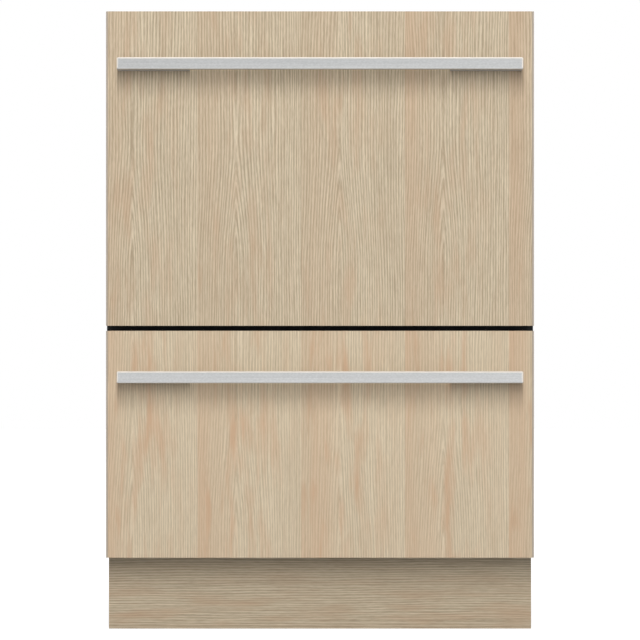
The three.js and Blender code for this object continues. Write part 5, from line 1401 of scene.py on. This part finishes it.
def dispenser(drawer):
    """Detergent cup with a flap, and a rinse-aid cap with a finger grip."""
    piece = Piece(drawer, "detergent_dispenser", "dispenser", "pale_plastic", "black_plastic", "blue_plastic",
                  sharp=35)
    flap = Piece(drawer, "dispenser_flap", "dispenser_door", "tub_plastic", body="dispenser_door", sharp=35)
    face, cap, middle = piece.low.y + 22, piece.low.x + 21, piece.mid.z
    latch, top, front, frame_width = flap.mid.x, flap.high.z, flap.high.y, 1.6
    piece.copy(0.6)
    piece.box(about(cap, 9), (face + 2.5, face + 6.5), about(middle, 1.8), 0.8, slot=1)
    piece.lathe([(11.4, 2.6), (11.4, 3.4), (10.8, 3.8)], (cap, face, middle), "Y", slot=2)
    piece.box(about(latch, 7), (face - 0.5, face + 1.6), (top + 0.8, top + 4), 0.5, slot=1)
    piece.build()
    flap.copy(0.4)
    x, z = inset(flap.x, 8), (flap.low.z + 7, top - 5)
    sides = [(x, end) for end in ends(z, frame_width)] + [(end, z) for end in ends(x, frame_width)]
    for across, up in sides:
        flap.box(across, (front - 0.6, front + 0.9), up, 0.4)
    flap.box(about(latch, 9), (front - 0.6, front + 2.2), (top - 4.4, top - 1), 0.7)
    flap.build()


def controls(drawer):
    """Strip in the drawer's top edge, with indicator lenses between two buttons."""
    strip = Piece(drawer, "touch_strip", "control_strip", "black_plastic", "indicator_lens")
    lens = [(1.5, -0.6), (1.5, 0.1), (1.1, 0.35)]
    strip.copy(0.5)
    for x in range(-36, 37, 12):
        strip.lathe(lens, (x, strip.mid.y, strip.high.z), sides=20, slot=1)
    strip.build()
    for name in ("power", "start"):
        key = Piece(drawer, f"{name}_key", f"{name}_button", "satin_metal", body=f"{name}_button")
        top = key.high.z
        shape = ((0, 2, key.low.z), (0, 2, top - 0.6), (0.5, 1.6, top), (1.6, 1.2, top - 0.1),
                 (1.6, 1.2, top - 0.35))
        key.loft([at_height(rounded_rectangle(inset(key.x, by), inset(key.y, by), corner, 6), z)
                  for by, corner, z in shape])
        key.build()


# ---------------------------------------------------------------- stage
def soft_light(name, place, aim, size, power):
    data = bpy.data.lights.new(name, "AREA")
    data.shape, data.size, data.size_y = "RECTANGLE", *size
    data.energy = power
    light = bpy.data.objects.new(name, data)
    light.location = place
    light.rotation_euler = (Vector(aim) - Vector(place)).to_track_quat("-Z", "Y").to_euler()
    bpy.context.scene.collection.objects.link(light)
    return light


def seen_directly(w):
    """1 for what the camera, a reflection or glass shows, and 0 for light that falls on things."""
    path = w.add("ShaderNodeLightPath").outputs
    rays = [path[f"Is {kind} Ray"] for kind in ("Camera", "Glossy", "Transmission")]
    return reduce(partial(w.maths, "MAXIMUM"), rays)


def white_world(ambient):
    """White to the camera and in reflections, and a softer level as light."""
    world = bpy.data.worlds.new("studio")
    world.use_nodes = True
    w = Wiring(world.node_tree)
    w.tree.nodes.clear()
    lit, shown = (w.get("ShaderNodeBackground", {"Color": (1, 1, 1, 1), "Strength": strength})
                  for strength in (ambient, 1.0))
    mixed = w.get("ShaderNodeMixShader", {0: seen_directly(w), 1: lit, 2: shown})
    w.add("ShaderNodeOutputWorld", {"Surface": mixed})
    bpy.context.scene.world = world


def floor():
    sizes, reach = look("stage"), 9
    mesh = bpy.data.meshes.new("floor")
    mesh.from_pydata(at_height(rectangle((-reach, reach), (-reach, reach)), 0), [], [(0, 1, 2, 3)])
    plane = bpy.data.objects.new("floor", mesh)
    bpy.context.scene.collection.objects.link(plane)

    def build(w, place):
        away = w.get("ShaderNodeVectorMath", {0: place}, "Value", operation="LENGTH")
        faint = [channel * 0.985 for channel in sizes.floor_tone]
        glow = w.ramp(away, 0.5, 2.5, sizes.floor_glow, 0.95)
        return {"Emission Strength": w.times(seen_directly(w), glow),
                "Base Color": w.blend(w.noise(place, 3.0, 3.0), (*faint, 1), (*sizes.floor_tone, 1))}
    mesh.materials.append(new_material("studio_floor", build, Roughness=0.9, Specular_IOR_Level=0.1,
                                       Emission_Color=(1, 1, 1, 1)))


def camera():
    sizes = look("stage")
    data = bpy.data.cameras.new("camera")
    data.lens, data.sensor_width, data.clip_end = sizes.lens, 36, 60
    eye = bpy.data.objects.new("camera", data)
    front = node_box("upper_timber_panel")[0].y * MM
    eye.location = (0, front - sizes.distance, sizes.eye_height)
    eye.rotation_euler = (math.radians(90), 0, 0)
    bpy.context.scene.collection.objects.link(eye)
    bpy.context.scene.camera = eye


def stage():
    """Camera, background and lights. The card and the overhead light are there for what the metal shows."""
    sizes = look("stage")
    bpy.context.scene.view_settings.view_transform = "Standard"
    white_world(sizes.ambient)
    key = soft_light("key", (0, -4.6, 2.65), (0, -0.2, 0.4), (0.6, 4.2), sizes.key_power)
    key.visible_glossy = False
    card = soft_light("card", (2.35, -4.7, 0.9), (0.2, -0.3, 0.6), (1.6, 3.0), sizes.card_power)
    card.visible_diffuse = False
    soft_light("overhead", (0, -0.4, 3.0), (0, -0.2, 0.45), (2.4, 1.2), sizes.overhead_power)
    for name, place in (("left", (-4, 0.8, 2.2)), ("right", (4, 0.8, 2.2)), ("back", (0.8, 4.4, 2.4))):
        soft_light(name, place, (0, 0.1, 0.4), (3, 3), sizes.side_power).visible_glossy = False
    floor()
    camera()


# ---------------------------------------------------------------- the add-on's operators and panel
class Step:
    """What all the operators share. Each builds its pieces, and an error stops it."""
    bl_options = {"REGISTER", "UNDO"}


class DISHWASHER_OT_stage(Step, bpy.types.Operator):
    """Sets up the floor, lights, background and camera"""
    bl_idname = "dishwasher.stage"
    bl_label = "Stage and camera"

    def execute(self, context):
        stage()
        return {"FINISHED"}


class DISHWASHER_OT_fronts(Step, bpy.types.Operator):
    """Builds the veneered fronts and the plinth"""
    bl_idname = "dishwasher.fronts"
    bl_label = "Timber fronts"

    def execute(self, context):
        for drawer in DRAWERS:
            timber_panel(drawer)
        plinth()
        return {"FINISHED"}


class DISHWASHER_OT_handles(Step, bpy.types.Operator):
    """Builds the bar handles"""
    bl_idname = "dishwasher.handles"
    bl_label = "Handles"

    def execute(self, context):
        for drawer in DRAWERS:
            handle(drawer)
        return {"FINISHED"}


class DISHWASHER_OT_wrapper(Step, bpy.types.Operator):
    """Builds the pressed wrapper"""
    bl_idname = "dishwasher.wrapper"
    bl_label = "Chassis sheets"

    def execute(self, context):
        chassis_shell()
        return {"FINISHED"}


class DISHWASHER_OT_back(Step, bpy.types.Operator):
    """Builds the pressed back panel"""
    bl_idname = "dishwasher.back"
    bl_label = "Back"

    def execute(self, context):
        rear_panel()
        return {"FINISHED"}


class DISHWASHER_OT_inside(Step, bpy.types.Operator):
    """Builds the divider, base pan and front seal"""
    bl_idname = "dishwasher.inside"
    bl_label = "Chassis inside"

    def execute(self, context):
        chassis_inside()
        return {"FINISHED"}


class DISHWASHER_OT_feet(Step, bpy.types.Operator):
    """Builds the levelling feet"""
    bl_idname = "dishwasher.feet"
    bl_label = "Feet"

    def execute(self, context):
        for place in ("front_left", "front_right", "rear_left", "rear_right"):
            levelling_foot(place)
        return {"FINISHED"}


class DISHWASHER_OT_services(Step, bpy.types.Operator):
    """Builds the valve, bulkhead, control box and links"""
    bl_idname = "dishwasher.services"
    bl_label = "Services"

    def execute(self, context):
        inlet_valve()
        bulkhead()
        control_module()
        for drawer in DRAWERS:
            for end in ("rear", "front"):
                service_link(drawer, end)
        return {"FINISHED"}


class DISHWASHER_OT_runners(Step, bpy.types.Operator):
    """Builds the telescopic runners"""
    bl_idname = "dishwasher.runners"
    bl_label = "Runners"

    def execute(self, context):
        for drawer in DRAWERS:
            for side in SIDES:
                fixed_runner(drawer, side)
                middle_runner(drawer, side)
            carriage(drawer)
        return {"FINISHED"}


class DISHWASHER_OT_frames(Step, bpy.types.Operator):
    """Builds the frames behind the fronts"""
    bl_idname = "dishwasher.frames"
    bl_label = "Front frames"

    def execute(self, context):
        for drawer in DRAWERS:
            front_frame(drawer)
        return {"FINISHED"}


class DISHWASHER_OT_tubs(Step, bpy.types.Operator):
    """Builds the wash tubs"""
    bl_idname = "dishwasher.tubs"
    bl_label = "Tubs"

    def execute(self, context):
        for drawer in DRAWERS:
            tub(drawer)
        return {"FINISHED"}


class DISHWASHER_OT_motors(Step, bpy.types.Operator):
    """Builds the motor pumps"""
    bl_idname = "dishwasher.motors"
    bl_label = "Motors"

    def execute(self, context):
        for drawer in DRAWERS:
            motor(drawer)
        return {"FINISHED"}


class DISHWASHER_OT_filters(Step, bpy.types.Operator):
    """Builds the drain filters"""
    bl_idname = "dishwasher.filters"
    bl_label = "Filters"

    def execute(self, context):
        for drawer in DRAWERS:
            filter_plate(drawer)
        return {"FINISHED"}


class DISHWASHER_OT_arms(Step, bpy.types.Operator):
    """Builds the spray arms"""
    bl_idname = "dishwasher.arms"
    bl_label = "Spray arms"

    def execute(self, context):
        for drawer in DRAWERS:
            spray_arm(drawer)
        return {"FINISHED"}


class DISHWASHER_OT_racks(Step, bpy.types.Operator):
    """Builds the dish racks and the cup shelf"""
    bl_idname = "dishwasher.racks"
    bl_label = "Racks"

    def execute(self, context):
        for drawer in DRAWERS:
            dish_rack(drawer)
        cup_rack()
        return {"FINISHED"}


class DISHWASHER_OT_baskets(Step, bpy.types.Operator):
    """Builds the cutlery baskets"""
    bl_idname = "dishwasher.baskets"
    bl_label = "Cutlery baskets"

    def execute(self, context):
        for drawer in DRAWERS:
            cutlery_basket(drawer)
        return {"FINISHED"}


class DISHWASHER_OT_lids(Step, bpy.types.Operator):
    """Builds the lids and their seals"""
    bl_idname = "dishwasher.lids"
    bl_label = "Lids"

    def execute(self, context):
        for drawer in DRAWERS:
            lid(drawer)
        return {"FINISHED"}


class DISHWASHER_OT_dispensers(Step, bpy.types.Operator):
    """Builds the detergent dispensers"""
    bl_idname = "dishwasher.dispensers"
    bl_label = "Dispensers"

    def execute(self, context):
        for drawer in DRAWERS:
            dispenser(drawer)
        return {"FINISHED"}


class DISHWASHER_OT_controls(Step, bpy.types.Operator):
    """Builds the control strips and buttons"""
    bl_idname = "dishwasher.controls"
    bl_label = "Controls"

    def execute(self, context):
        for drawer in DRAWERS:
            controls(drawer)
        return {"FINISHED"}


OPERATORS = (DISHWASHER_OT_stage, DISHWASHER_OT_fronts, DISHWASHER_OT_handles, DISHWASHER_OT_wrapper,
             DISHWASHER_OT_back, DISHWASHER_OT_inside, DISHWASHER_OT_feet, DISHWASHER_OT_services,
             DISHWASHER_OT_runners, DISHWASHER_OT_frames, DISHWASHER_OT_tubs, DISHWASHER_OT_motors,
             DISHWASHER_OT_filters, DISHWASHER_OT_arms, DISHWASHER_OT_racks, DISHWASHER_OT_baskets,
             DISHWASHER_OT_lids, DISHWASHER_OT_dispensers, DISHWASHER_OT_controls)


class DISHWASHER_PT_sidebar(bpy.types.Panel):
    """Sizes and colours, with a button for each group of pieces"""
    bl_label = "Dishwasher"
    bl_idname = "DISHWASHER_PT_sidebar"
    bl_space_type = "VIEW_3D"
    bl_region_type = "UI"
    bl_category = "Dishwasher"

    def draw(self, context):
        for key in SETTINGS:
            box = self.layout.box()
            group = getattr(context.scene, key)
            box.label(text=key.split("_")[1].title())
            for name in group.__annotations__:
                box.prop(group, name)
        for operator in OPERATORS:
            self.layout.operator(operator.bl_idname)


CLASSES = (*SETTINGS.values(), *OPERATORS, DISHWASHER_PT_sidebar)


def register():
    for cls in CLASSES:
        bpy.utils.register_class(cls)
    for key, group in SETTINGS.items():
        setattr(bpy.types.Scene, key, PointerProperty(type=group))


def unregister():
    for key in SETTINGS:
        delattr(bpy.types.Scene, key)
    for cls in reversed(CLASSES):
        bpy.utils.unregister_class(cls)


def main():
    register()
    for operator in OPERATORS:
        getattr(bpy.ops.dishwasher, operator.__name__.removeprefix("DISHWASHER_OT_"))()


if __name__ == "__main__":
    main()
